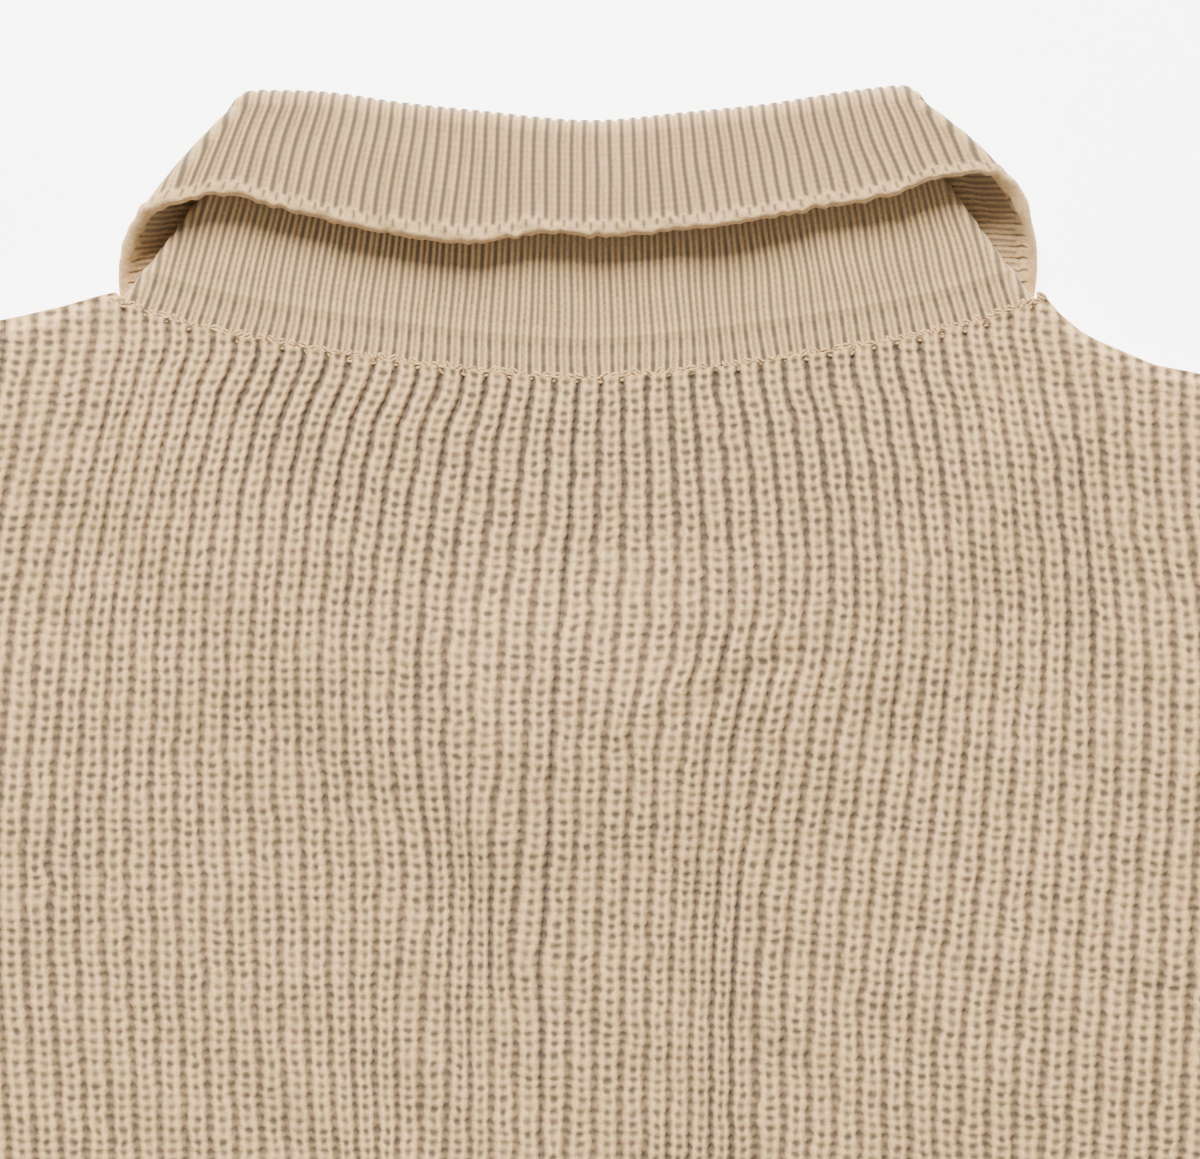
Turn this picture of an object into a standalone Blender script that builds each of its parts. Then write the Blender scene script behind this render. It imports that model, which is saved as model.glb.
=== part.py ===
"""A chunky ribbed cardigan with a tall turned-down collar, laid back up on a flat surface.

Pattern sizes are in millimetres in the garment's own frame: X across, Y up the back from the
back neck seam at the centre, Z up from the surface. GARMENT_Y moves the finished pieces so that
the origin lies on the surface under the middle of the garment. Cloth pieces are walls: a ribbed
skin and a plain skin, both worked out from the sizes below and joined along their edges.
"""

import math

import bmesh
import bpy
import numpy as np

MM = 0.001

# Cloth
SEAM_GAP = 0.3
BODY_WALL = 3.0
COLLAR_WALL = 2.5
BODY_RIB_DEPTH = 0.9
COLLAR_RIB_DEPTH = 0.55
EDGE_DROP = 1.2

# Body
BODY_LENGTH = 640.0
CHEST_HALF = 280.0
HEM_HALF = 272.0
HEM_HEIGHT = 70.0
SHOULDER_HALF = 222.0
ARMHOLE_STRAIGHT_Y = -170.0
ARMHOLE_LEAN = 2.7
UNDERARM_Y = -235.0
BODY_RIBS = 102
RIB_FAN = 16.0
RIB_FAN_AT = 111.0
RIB_FAN_LENGTH = 150.0

# Neck and collar
NECK_HALF = 95.5
NECK_CORNER = 3.3
NECK_SIDE_RISE = 13.4
NECK_CORNER_RISE = 3.1
FRONT_NECK_Y = -75.0
FRONT_SCOOP = 2.2
SHOULDER_START = 96.2
STAND_HEIGHT = 50.0
FALL_HEIGHT = 23.0
COLLAR_TOP = 60.3
FOLD_HALF = 64.0
RIM_HALF = 81.0
COLLAR_RIBS_PER_HALF = 78
COLLAR_RIBBED_SHARE = 0.53
BACK_STAND_Z = 7.35
BACK_ROLL_RADIUS = 2.4
FRONT_ROLL_RADIUS = 1.4
RIM_RISE = 1.45
COLLAR_INSIDE_COLUMNS = 47
COLLAR_FRONT_COLUMNS = 19
TUCK_ANGLE = 0.35
RING_BACK_POINTS = 60
RING_TURN_POINTS = 48
RING_FRONT_POINTS = 80

# The layers of the neck, which lift the cloth over them: where each slope starts and its run
FRONT_LIFT = COLLAR_WALL + SEAM_GAP
FRONT_SLOPE_BELOW_RIM = 27.0
FRONT_SLOPE_RUN = 21.0
BACK_SLOPE_BELOW_RIM = 70.0
BACK_SLOPE_RUN = 43.0
NECK_LAYERS_END = 140.0
NECK_LAYERS_RUN = 40.0

# Front bands and buttons
BAND_HALF = 18.0
OUTER_BAND_WALL = 3.6
INNER_BAND_WALL = 3.0
BAND_STEP = OUTER_BAND_WALL + SEAM_GAP
BAND_BEVEL = 0.4
BAND_SLOPE = 12.0
INNER_RAISE_TOP_Y = -52.0
INNER_RAISE_RUN = 23.0
RIDGE_HALF = 34.0
RIDGE_TOP_Y = -30.0
RIDGE_RUN = 40.0
BUTTON_COUNT = 6
BUTTON_RADIUS = 10.0
BUTTON_THICKNESS = 2.3
BUTTON_BEVEL = 0.5
FIRST_BUTTON_Y = -95.0
BUTTON_SPACING = 100.0

# Sleeves
SLEEVE_ANGLE = math.radians(-55.0)
SLEEVE_RIBS = 28
SLEEVE_UNDER_COLUMNS = 8
SLEEVE_EDGE_ROUND = 1.2
SLEEVE_HOLLOW_INSET = 2.6

GARMENT_Y = (BODY_LENGTH - COLLAR_TOP) / 2

# The back of the collar's fold, as its outline: x, y
FOLD_LINE = (
    (-64.0, 59.3),
    (-50.0, 58.9),
    (-37.0, 57.0),
    (-20.0, 55.1),
    (4.0, 53.1),
    (21.0, 54.7),
    (38.0, 56.5),
    (54.0, 59.1),
    (64.0, 60.3),
)
# The wavy lower rim of the fall across the back: x, y
RIM_LINE = (
    (-82.0, 35.1),
    (-75.0, 37.2),
    (-61.0, 34.7),
    (-48.0, 31.2),
    (-36.0, 28.9),
    (-20.6, 27.3),
    (-9.0, 29.3),
    (4.5, 28.7),
    (20.0, 29.9),
    (36.0, 32.0),
    (49.0, 34.5),
    (65.0, 37.6),
    (72.0, 40.3),
    (80.0, 41.9),
)
# The shoulder line, from the neck out: distance from the centre, left y, right y
SHOULDER_LINE = (
    (96.2, 18.3, 18.0),
    (99.5, 17.5, 13.6),
    (104.0, 15.9, 9.5),
    (112.0, 13.4, 5.0),
    (120.0, 11.8, 2.4),
    (128.0, 10.0, 1.0),
    (170.0, 0.0, -10.0),
    (222.0, -16.0, -24.0),
)
# The collar's ring. Each size at the seam, and what it gains up the stand, over the roll, down the
# fall and by the rim's flare; then the powers of the stand's and the flare's gain
RING = {
    # size: (seam, stand, roll, fall, flare, stand power, flare power)
    "half_width": (94.2, -28.2, 6.5, 18.7, 2.6, 0.75, 2.0),
    "side_turn": (2.2, 0.0, 1.8, 0.0, 9.0, 1.0, 3.0),
    "front_side_y": (14.9, 29.1, 0.0, -15.0, -26.0, 1.0, 2.0),
}
# How the sleeve turns down round the underarm: angle of the row, its length, step along the sleeve
SLEEVE_FAN = (
    (87.0, 200.0, 2.0),
    (70.0, 192.0, 5.0),
    (52.0, 187.0, 9.0),
    (35.0, 185.0, 14.0),
)
# The sleeve below the upper arm: distance along it, width laid flat
SLEEVE_LENGTHS = (
    (130.0, 151.0),
    (215.0, 129.0),
    (295.0, 108.0),
    (305.0, 98.0),
    (365.0, 94.0),
)
# Rows of the back, as shares of the way from its top edge to the hem
BACK_ROWS = (0.0, 0.015, 0.04, 0.075, 0.12, 0.18, 0.27, 0.42, 0.65, 0.89, 1.0)
# Rows of a front, as depths below its top edge, and then as shares of the way to the hem
FRONT_ROWS = (0.0, 7.0, 14.0, 22.0, 32.0, 46.0, 66.0, 100.0, 180.0)
FRONT_LOWER_ROWS = (0.3, 0.65, 1.0)
# Columns of a front, from its band out: over the band's slope, along the neck, along the shoulder
# and, past the shoulder's end, round the armhole
FRONT_BAND_COLUMNS = (BAND_HALF + SEAM_GAP, 21.0, 24.0, 27.0, 30.0, 35.0)
FRONT_NECK_COLUMNS = (40.0, NECK_HALF, 5.0)
FRONT_SHOULDER_COLUMNS = (96.0, SHOULDER_START, 99.5, 104.0, 112.0, 120.0, 140.0, 170.0, 200.0)
FRONT_ARMHOLE_COLUMNS = (0.0, ARMHOLE_LEAN, 6.0, 11.0, 18.0, 28.0, 40.0, 50.0)
# Rows of the collar, by its path: 0 to 1 up the stand, 1 to 2 over the fold, 2 to 3 down the fall
COLLAR_ROWS = (0.0, 0.16, 0.55, 1.0, 1.5, 2.0, 2.5, 3.0)


def smooth(share):
    """0 to 1 along an S curve."""
    t = np.clip(share, 0.0, 1.0)
    return t * t * (3.0 - 2.0 * t)


def through(rows, x):
    """A smooth curve y(x) through the rows of an (x, y) table."""
    knots = np.array(rows, float)
    xs, ys = knots[:, 0], knots[:, 1]
    slopes = np.gradient(ys, xs)
    x = np.clip(x, xs[0], xs[-1])
    i = np.clip(np.searchsorted(xs, x) - 1, 0, len(xs) - 2)
    width = xs[i + 1] - xs[i]
    t = (x - xs[i]) / width
    rise = ys[i] + (ys[i + 1] - ys[i]) * t * t * (3.0 - 2.0 * t)
    bend = slopes[i] * (t**3 - 2 * t**2 + t) + slopes[i + 1] * (t**3 - t**2)
    return rise + bend * width


# ---------------------------------------------------------------- outlines and heights


def neck_seam(x):
    """The back neck seam: nearly level at the centre, turning up into the shoulders."""
    share = np.minimum(np.abs(x), NECK_HALF - NECK_CORNER) / NECK_HALF
    return NECK_SIDE_RISE * share**1.45 + NECK_CORNER_RISE * share**9


def front_neck_seam(x):
    """The front neck seam, a deep scoop down to the centre front."""
    side = neck_seam(NECK_HALF)
    share = np.minimum(np.abs(x) / (NECK_HALF - NECK_CORNER), 1.0)
    return FRONT_NECK_Y + (side - FRONT_NECK_Y) * share**FRONT_SCOOP


def ring_size(name, stand, turned, fall):
    """One of the sizes of the collar's ring, at shares of the stand, the roll and the fall."""
    seam, by_stand, by_roll, by_fall, by_flare, stand_power, flare_power = RING[name]
    gained = by_stand * stand**stand_power + by_roll * turned + by_fall * fall
    return seam + gained + by_flare * fall**flare_power


def front_rim(x):
    """The collar's front rim, under the fronts."""
    centre = FRONT_NECK_Y + STAND_HEIGHT - FALL_HEIGHT
    side = ring_size("front_side_y", 1.0, 1.0, 1.0)
    half_width = ring_size("half_width", 1.0, 1.0, 1.0)
    flat_end = half_width - ring_size("side_turn", 1.0, 1.0, 1.0)
    share = np.minimum(np.abs(x), half_width) / flat_end
    return centre + (side - centre) * share**FRONT_SCOOP


def shoulder(x):
    """The shoulder line on either side."""
    table = np.array(SHOULDER_LINE)
    left = np.interp(np.abs(x), table[:, 0], table[:, 1])
    right = np.interp(np.abs(x), table[:, 0], table[:, 2])
    return np.where(x < 0, left, right)


def armhole_y(x):
    """The armhole's height at x: almost upright below the shoulder, then a quarter ellipse."""
    away = np.abs(x)
    straight_end = SHOULDER_HALF + ARMHOLE_LEAN
    down = (away - SHOULDER_HALF) / ARMHOLE_LEAN
    start = shoulder(x)
    upright = start + (ARMHOLE_STRAIGHT_Y - start) * np.clip(down, 0.0, 1.0)
    share = np.clip((CHEST_HALF - away) / (CHEST_HALF - straight_end), 0.0, 1.0)
    scoop = np.sqrt(1.0 - share**2)
    curve = ARMHOLE_STRAIGHT_Y + (UNDERARM_Y - ARMHOLE_STRAIGHT_Y) * scoop
    return np.where(away < straight_end, upright, curve)


def top_edge(x, neck):
    """A panel's top edge: its neck seam, then the shoulder, then the armhole."""
    away = np.abs(x)
    edge = np.where(away < SHOULDER_START - SEAM_GAP / 3, neck, shoulder(x))
    return np.where(away > SHOULDER_HALF, armhole_y(x), edge)


def draw_in(y):
    """How the body narrows into its hem."""
    depth = (-y - (BODY_LENGTH - HEM_HEIGHT)) / HEM_HEIGHT
    return 1.0 - (1.0 - HEM_HALF / CHEST_HALF) * smooth(depth)


def shoulder_fade(x):
    """The neck's layers thin out along the shoulders."""
    return smooth((NECK_LAYERS_END - np.abs(x)) / NECK_LAYERS_RUN)


def front_lift(x, y):
    """The fronts and the front of the stand ride over the front of the fall."""
    climbed = (y - front_rim(x) + FRONT_SLOPE_BELOW_RIM) / FRONT_SLOPE_RUN
    return FRONT_LIFT * smooth(climbed) * shoulder_fade(x)


def back_lift(x, y):
    """The back bridges the same layers with a longer slope."""
    climbed = (y - front_rim(x) + BACK_SLOPE_BELOW_RIM) / BACK_SLOPE_RUN
    return FRONT_LIFT * smooth(climbed) * shoulder_fade(x)


def band_ridge(x, y):
    """The broad ridge that the lapped bands raise in the back."""
    across = smooth((RIDGE_HALF - np.abs(x)) / (RIDGE_HALF - BAND_HALF))
    return BAND_STEP * across * smooth((RIDGE_TOP_Y - y) / RIDGE_RUN)


def inner_front_raise(x, y):
    """The left front climbs onto the right band beside the centre."""
    across = smooth((x + BAND_HALF + BAND_SLOPE) / BAND_SLOPE)
    return BAND_STEP * across * smooth((INNER_RAISE_TOP_Y - y) / INNER_RAISE_RUN)


# ---------------------------------------------------------------- walls


class Wall:
    """Rows of points stitched into one closed wall."""

    def __init__(self):
        self.points = []
        self.faces = []

    def row(self, points):
        """Adds a row of points and returns their numbers."""
        start = sum(len(p) for p in self.points)
        self.points.append(np.asarray(points, float))
        return np.arange(start, start + len(points))

    def stitch(self, first, first_at, second, second_at):
        """Fills between two rows whose points lie at rising shares of the same length."""
        i = j = 0
        while i < len(first) - 1 or j < len(second) - 1:
            next_i = first_at[i + 1] if i < len(first) - 1 else math.inf
            next_j = second_at[j + 1] if j < len(second) - 1 else math.inf
            if next_i <= next_j:
                self.faces.append((first[i], first[i + 1], second[j]))
                i += 1
            else:
                self.faces.append((first[i], second[j + 1], second[j]))
                j += 1

    def skin(self, rows):
        """Adds rows given as (shares, points) and stitches each to the next."""
        numbered = [(self.row(points), shares) for shares, points in rows]
        for (a, a_at), (b, b_at) in zip(numbered, numbered[1:]):
            self.stitch(a, a_at, b, b_at)
        return numbered

    def mesh(self, name):
        """The wall as a mesh in metres, in the row frame, facing out."""
        points = np.concatenate(self.points) + (0.0, GARMENT_Y, 0.0)
        mesh = bpy.data.meshes.new(name)
        mesh.from_pydata((points * MM).tolist(), [], [tuple(map(int, f)) for f in self.faces])
        work = bmesh.new()
        work.from_mesh(mesh)
        bmesh.ops.recalc_face_normals(work, faces=work.faces)
        work.to_mesh(mesh)
        work.free()
        return mesh


def open_wall(name, first_rows, second_rows):
    """A wall between two skins that share their number of rows, closed along all four edges."""
    wall = Wall()
    first = wall.skin(first_rows)
    second = wall.skin(second_rows)
    for (a, a_at), (b, b_at) in ((first[0], second[0]), (first[-1], second[-1])):
        wall.stitch(a, a_at, b, b_at)
    for side in (0, -1):
        a = [numbers[side] for numbers, _ in first]
        b = [numbers[side] for numbers, _ in second]
        along = np.linspace(0.0, 1.0, len(a))
        wall.stitch(a, along, b, along)
    return wall.mesh(name)


def tube_wall(name, outer_rings, inner_rings):
    """A wall between two skins of closed rings, open at both ends."""
    wall = Wall()
    skins = []
    for rings in (outer_rings, inner_rings):
        numbered = []
        for shares, points in rings:
            numbers = wall.row(points)
            numbered.append((np.append(numbers, numbers[0]), np.append(shares, 1.0)))
        for (a, a_at), (b, b_at) in zip(numbered, numbered[1:]):
            wall.stitch(a, a_at, b, b_at)
        skins.append(numbered)
    for end in (0, -1):
        (a, a_at), (b, b_at) = skins[0][end], skins[1][end]
        wall.stitch(a, a_at, b, b_at)
    return wall.mesh(name)


# ---------------------------------------------------------------- the pieces


def material(name, colour, roughness):
    """A plain finish."""
    finish = bpy.data.materials.new(name)
    finish.use_nodes = True
    shader = finish.node_tree.nodes["Principled BSDF"]
    shader.inputs["Base Color"].default_value = (*colour, 1.0)
    shader.inputs["Roughness"].default_value = roughness
    shader.inputs["Metallic"].default_value = 0.0
    return finish


def place(name, mesh, finish, collection):
    """A finished piece in the garment's collection."""
    piece = bpy.data.objects.new(name, mesh)
    mesh.materials.clear()
    mesh.materials.append(finish)
    collection.objects.link(piece)
    return piece


def back_mesh():
    """The back: a rib at each even column, fanning out from the gathered neck."""
    columns = 2 * BODY_RIBS + 1
    at_hem = np.linspace(-CHEST_HALF, CHEST_HALF, columns)
    bulge = np.interp(np.abs(at_hem), (0.0, RIB_FAN_AT, SHOULDER_HALF), (0.0, 1.0, 0.0))

    def across(y):
        gathered = smooth(1.0 - (NECK_CORNER_RISE + NECK_SIDE_RISE - y) / RIB_FAN_LENGTH)
        return at_hem * draw_in(y) - np.sign(at_hem) * RIB_FAN * bulge * gathered

    top = np.zeros(columns)
    for _ in range(12):
        corner = across(top)
        for side in (-1, 1):
            first = np.flatnonzero(side * corner > SHOULDER_START)[0 if side > 0 else -1]
            corner[first] = side * SHOULDER_START
            corner[first - side] = side * (SHOULDER_START - 2 * SEAM_GAP / 3)
        top = top_edge(corner, neck_seam(corner) - SEAM_GAP)
    ridge = (np.arange(columns) % 2).astype(float)
    from_side = CHEST_HALF - np.abs(at_hem)
    side_drop = EDGE_DROP * (1.0 - smooth(from_side / 4.0))
    number = np.arange(columns)
    over_ridge = (np.abs(at_hem) < RIDGE_HALF + 6.0) & (number % 2 == 0)
    plain = np.flatnonzero((number % 6 == 0) | over_ridge)
    shares = np.linspace(0.0, 1.0, columns)
    upper, lower = [], []
    for row in BACK_ROWS:
        y = top + (-BODY_LENGTH - top) * row
        x = across(y) if row else corner
        under = BODY_WALL + SEAM_GAP + back_lift(x, y) + band_ridge(x, y)
        over = under + BODY_WALL - BODY_RIB_DEPTH * (1.0 - ridge) - side_drop
        if row == 0.0:
            over = over - np.where(np.abs(x) > SHOULDER_START, 0.6 * EDGE_DROP, 0.0)
        kept = plain if row else number
        upper.append((shares, np.column_stack((x, y, over))))
        lower.append((shares[kept], np.column_stack((x, y, under))[kept]))
    return open_wall("back", upper, lower)


def front_mesh(name, side):
    """A front, plain on both faces, which lie on the surface and under the back."""
    by_neck = np.arange(*FRONT_NECK_COLUMNS)
    by_armhole = SHOULDER_HALF + np.array(FRONT_ARMHOLE_COLUMNS)
    sections = (FRONT_BAND_COLUMNS, by_neck, FRONT_SHOULDER_COLUMNS, by_armhole, (CHEST_HALF,))
    away = np.concatenate(sections)
    x = side * away
    neck_gap = SEAM_GAP * np.where(away < NECK_HALF - NECK_CORNER, 2.4, 1.5)
    top = top_edge(x, front_neck_seam(x) - neck_gap)
    shares = np.linspace(0.0, 1.0, len(x))
    rows = [top - depth for depth in FRONT_ROWS]
    rest = [rows[-1] + (-BODY_LENGTH - rows[-1]) * share for share in FRONT_LOWER_ROWS]
    upper, lower = [], []
    for y in rows + rest:
        drawn = x * np.where(away > FRONT_BAND_COLUMNS[-1], draw_in(y), 1.0)
        under = front_lift(drawn, y)
        if side < 0:
            under = under + inner_front_raise(drawn, y)
        lower.append((shares, np.column_stack((drawn, y, under))))
        upper.append((shares, np.column_stack((drawn, y, under + BODY_WALL))))
    return open_wall(name, upper, lower)


def cap_seam(side, share):
    """The armhole seam on the sleeve's side, from the shoulder (0) to the underarm (1)."""
    start = float(shoulder(side * SHOULDER_HALF))
    corner = SHOULDER_HALF + ARMHOLE_LEAN
    turn = np.linspace(0.0, math.pi / 2, 25)
    curve_x = CHEST_HALF - (CHEST_HALF - corner) * np.cos(turn)
    curve_y = ARMHOLE_STRAIGHT_Y + (UNDERARM_Y - ARMHOLE_STRAIGHT_Y) * np.sin(turn)
    xs = np.concatenate(((SHOULDER_HALF,), curve_x)) + 1.3 * SEAM_GAP
    ys = np.concatenate(((start,), curve_y)) + SEAM_GAP
    length = np.concatenate(((0.0,), np.cumsum(np.hypot(np.diff(xs), np.diff(ys)))))
    at = share * length[-1]
    return np.column_stack((np.interp(at, length, xs), np.interp(at, length, ys)))


def sleeve_rows(side, share):
    """Each row of the sleeve laid flat, from the armhole to the cuff, as x and y at the shares."""
    seam = cap_seam(side, share)
    straight = seam[:1] + (seam[-1:] - seam[:1]) * share[:, None]
    bend = seam - straight
    along = np.array((math.cos(SLEEVE_ANGLE), math.sin(SLEEVE_ANGLE)))
    across = np.array((-along[1], along[0]))
    underarm = seam[-1] + (SEAM_GAP, 0.0)
    rows = [seam]
    for k, (angle, length, step) in enumerate(SLEEVE_FAN):
        turn = math.radians(angle)
        low = underarm + along * step
        high = low + length * np.array((math.cos(turn), math.sin(turn)))
        fade = (1.0 - (k + 1) / len(SLEEVE_FAN)) ** 1.3
        rows.append(high + (low - high) * share[:, None] + bend * fade)
    middle = (high + low) / 2
    for distance, width in SLEEVE_LENGTHS:
        centre = middle + along * distance
        high, low = centre + across * width / 2, centre - across * width / 2
        rows.append(high + (low - high) * share[:, None])
    return [row * (side, 1.0) for row in rows]


def sleeve_mesh(name, side):
    """A sleeve: two layers joined along both edges, ribbed on top, open at armhole and cuff."""
    columns = 2 * SLEEVE_RIBS + 1
    fine = np.linspace(0.0, 1.0, columns)
    ridge = (np.arange(columns) % 2).astype(float)
    coarse = np.linspace(0.0, 1.0, SLEEVE_UNDER_COLUMNS)
    home = 0.5 + 0.5 * (coarse + 0.02) / 1.04
    full = 2 * BODY_WALL + SEAM_GAP
    top_z = full - BODY_RIB_DEPTH * (1.0 - ridge)
    top_z[[0, -1]] = (full + SLEEVE_EDGE_ROUND) / 2
    outer, inner = [], []
    for fine_row, coarse_row in zip(sleeve_rows(side, fine), sleeve_rows(side, coarse)):
        edge = (fine_row[-1] - fine_row[0]) / np.linalg.norm(fine_row[-1] - fine_row[0])
        back_again = coarse_row[::-1].copy()
        back_again[0] -= edge * SLEEVE_EDGE_ROUND
        back_again[-1] += edge * SLEEVE_EDGE_ROUND
        over = np.column_stack((fine_row, top_z))
        floor = np.column_stack((back_again, np.zeros(len(coarse))))
        outer.append((np.concatenate((0.5 * fine, home)), np.concatenate((over, floor))))
        hollow = coarse_row.copy()
        hollow[0] += edge * SLEEVE_HOLLOW_INSET
        hollow[-1] -= edge * SLEEVE_HOLLOW_INSET
        roof = np.column_stack((hollow, np.full(len(coarse), BODY_WALL + SEAM_GAP)))
        base = np.column_stack((hollow[::-1], np.full(len(coarse), BODY_WALL)))
        inner.append((np.concatenate((0.5 * coarse, home)), np.concatenate((roof, base))))
    return tube_wall(name, outer, inner)


def collar_ring(path, side):
    """Half of the collar's middle surface at one place on its path, from the centre back round
    the side to the centre front, as points and their distance along the ring."""
    stand, fall = min(path, 1.0), max(path - 2.0, 0.0)
    roll = math.pi * min(max(path - 1.0, 0.0), 1.0)
    turned = (1.0 - math.cos(roll)) / 2
    side_turn = ring_size("side_turn", stand, turned, fall)
    flat_end = ring_size("half_width", stand, turned, fall) - side_turn
    back_z = BACK_STAND_Z + 2 * BACK_ROLL_RADIUS * turned + RIM_RISE * fall
    front_side = ring_size("front_side_y", stand, turned, fall)
    front_centre = FRONT_NECK_Y + STAND_HEIGHT * stand - FALL_HEIGHT * fall
    front_roll = FRONT_ROLL_RADIUS * math.sin(roll)

    def back_y(share):
        fold = through(FOLD_LINE, side * FOLD_HALF * share) - COLLAR_WALL / 2 - BACK_ROLL_RADIUS
        rim = through(RIM_LINE, side * RIM_HALF * share)
        seam = neck_seam((NECK_HALF - NECK_CORNER) * share)
        up = seam + (fold - seam) * stand
        return up + BACK_ROLL_RADIUS * math.sin(roll) + (rim - fold) * fall

    def front_y(share):
        return front_centre + (front_side - front_centre) * share**FRONT_SCOOP + front_roll

    across = np.linspace(0.0, 1.0, RING_BACK_POINTS)
    turn = np.linspace(math.pi / 2, -math.pi / 2, RING_TURN_POINTS + 2)[1:-1]
    home = np.linspace(1.0, 0.4 / flat_end, RING_FRONT_POINTS)
    early = smooth((turn + TUCK_ANGLE) / (math.pi / 2 + TUCK_ANGLE))
    x = np.concatenate((flat_end * across, flat_end + side_turn * np.cos(turn), flat_end * home))
    level = np.concatenate((np.ones_like(across), (1.0 + np.sin(turn)) / 2, np.zeros_like(home)))
    tucked = np.concatenate((np.ones_like(across), early, np.zeros_like(home)))
    past_back = np.full(len(turn) + len(home), back_y(np.array(1.0)))
    back = np.concatenate((back_y(across), past_back))
    front = np.concatenate((np.full(len(across) + len(turn), front_y(1.0)), front_y(home)))
    y = front + (back - front) * level
    share_up = level + (tucked - level) * turned
    front_z = COLLAR_WALL / 2 + front_lift(x, y) * (1.0 - turned)
    if side < 0:
        front_z = front_z + inner_front_raise(-x, y) * (1.0 - turned)
    z = front_z + (back_z - front_z) * share_up
    points = np.column_stack((side * x, y, z))
    steps = np.linalg.norm(np.diff(points, axis=0), axis=1)
    return points, np.concatenate(((0.0,), np.cumsum(steps)))


def collar_middle(path, around):
    """Points of the collar's middle surface at the shares around, -1 to 1 from front to front."""
    made = np.zeros((len(around), 3))
    for side in (-1, 1):
        points, length = collar_ring(path, side)
        mine = around < 0 if side < 0 else around >= 0
        at = np.abs(around[mine]) * length[-1]
        made[mine] = np.column_stack([np.interp(at, length, points[:, k]) for k in range(3)])
    return made


def collar_face(path, around, offset):
    """The middle surface moved along its normal, towards the neck's inside when positive."""
    step = 0.004
    ahead = collar_middle(path, np.clip(around + step, -1.0, 1.0))
    behind = collar_middle(path, np.clip(around - step, -1.0, 1.0))
    above = collar_middle(min(path + 0.02, 3.0), around)
    below = collar_middle(max(path - 0.02, 0.0), around)
    normal = np.cross(ahead - behind, above - below)
    normal /= np.linalg.norm(normal, axis=1)[:, None]
    if path == 0.0:
        normal[:, 1] = 0.0
    return collar_middle(path, around) - normal * np.reshape(offset, (-1, 1))


def collar_mesh():
    """The collar: stand ribbed on its outside, fall ribbed on the face that shows."""
    ribbed_end = round(COLLAR_RIBBED_SHARE * COLLAR_RIBS_PER_HALF) * 2
    ribbed = np.arange(-ribbed_end, ribbed_end + 1) / (2 * COLLAR_RIBS_PER_HALF)
    ridge = np.arange(-ribbed_end, ribbed_end + 1) % 2
    front = np.linspace(ribbed[-1], 1.0, COLLAR_FRONT_COLUMNS + 1)[1:]
    fine = np.concatenate((-front[::-1], ribbed, front))
    smooth_front = np.zeros_like(front)
    groove = np.concatenate((smooth_front, COLLAR_RIB_DEPTH * (1 - ridge), smooth_front))
    middle = np.linspace(ribbed[0], ribbed[-1], COLLAR_INSIDE_COLUMNS)
    coarse = np.concatenate((-front[::-1], middle, front))
    half = COLLAR_WALL / 2
    outside, inside = [], []
    for path in COLLAR_ROWS:
        on_stand = path <= 1.0
        ribs = ((fine + 1) / 2, collar_face(path, fine, (groove - half) * (1 if on_stand else -1)))
        plain = ((coarse + 1) / 2, collar_face(path, coarse, half * (1 if on_stand else -1)))
        outside.append(ribs if on_stand else plain)
        inside.append(plain if on_stand else ribs)
    return open_wall("collar", outside, inside)


def bevelled_box(name, low, high, bevel):
    """A box between two corners, in millimetres, with its edges broken."""
    work = bmesh.new()
    bmesh.ops.create_cube(work, size=1.0)
    middle = (np.array(low) + high) / 2 + (0.0, GARMENT_Y, 0.0)
    bmesh.ops.scale(work, vec=(np.array(high) - low) * MM, verts=work.verts)
    bmesh.ops.translate(work, vec=middle * MM, verts=work.verts)
    bmesh.ops.bevel(work, geom=list(work.edges), offset=bevel * MM, segments=1, affect="EDGES")
    mesh = bpy.data.meshes.new(name)
    work.to_mesh(mesh)
    work.free()
    return mesh


def disc(name, centre_y, radius, low_z, high_z, bevel=0.0):
    """A round disc on the centre line."""
    work = bmesh.new()
    size = (high_z - low_z) * MM
    bmesh.ops.create_cone(
        work, cap_ends=True, segments=24, radius1=radius * MM, radius2=radius * MM, depth=size
    )
    middle = (0.0, (centre_y + GARMENT_Y) * MM, (low_z + high_z) / 2 * MM)
    bmesh.ops.translate(work, vec=middle, verts=work.verts)
    if bevel:
        rims = [edge for edge in work.edges if edge.calc_face_angle(0.0) > 1.0]
        bmesh.ops.bevel(work, geom=rims, offset=bevel * MM, segments=1, affect="EDGES")
    mesh = bpy.data.meshes.new(name)
    work.to_mesh(mesh)
    work.free()
    return mesh


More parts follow.
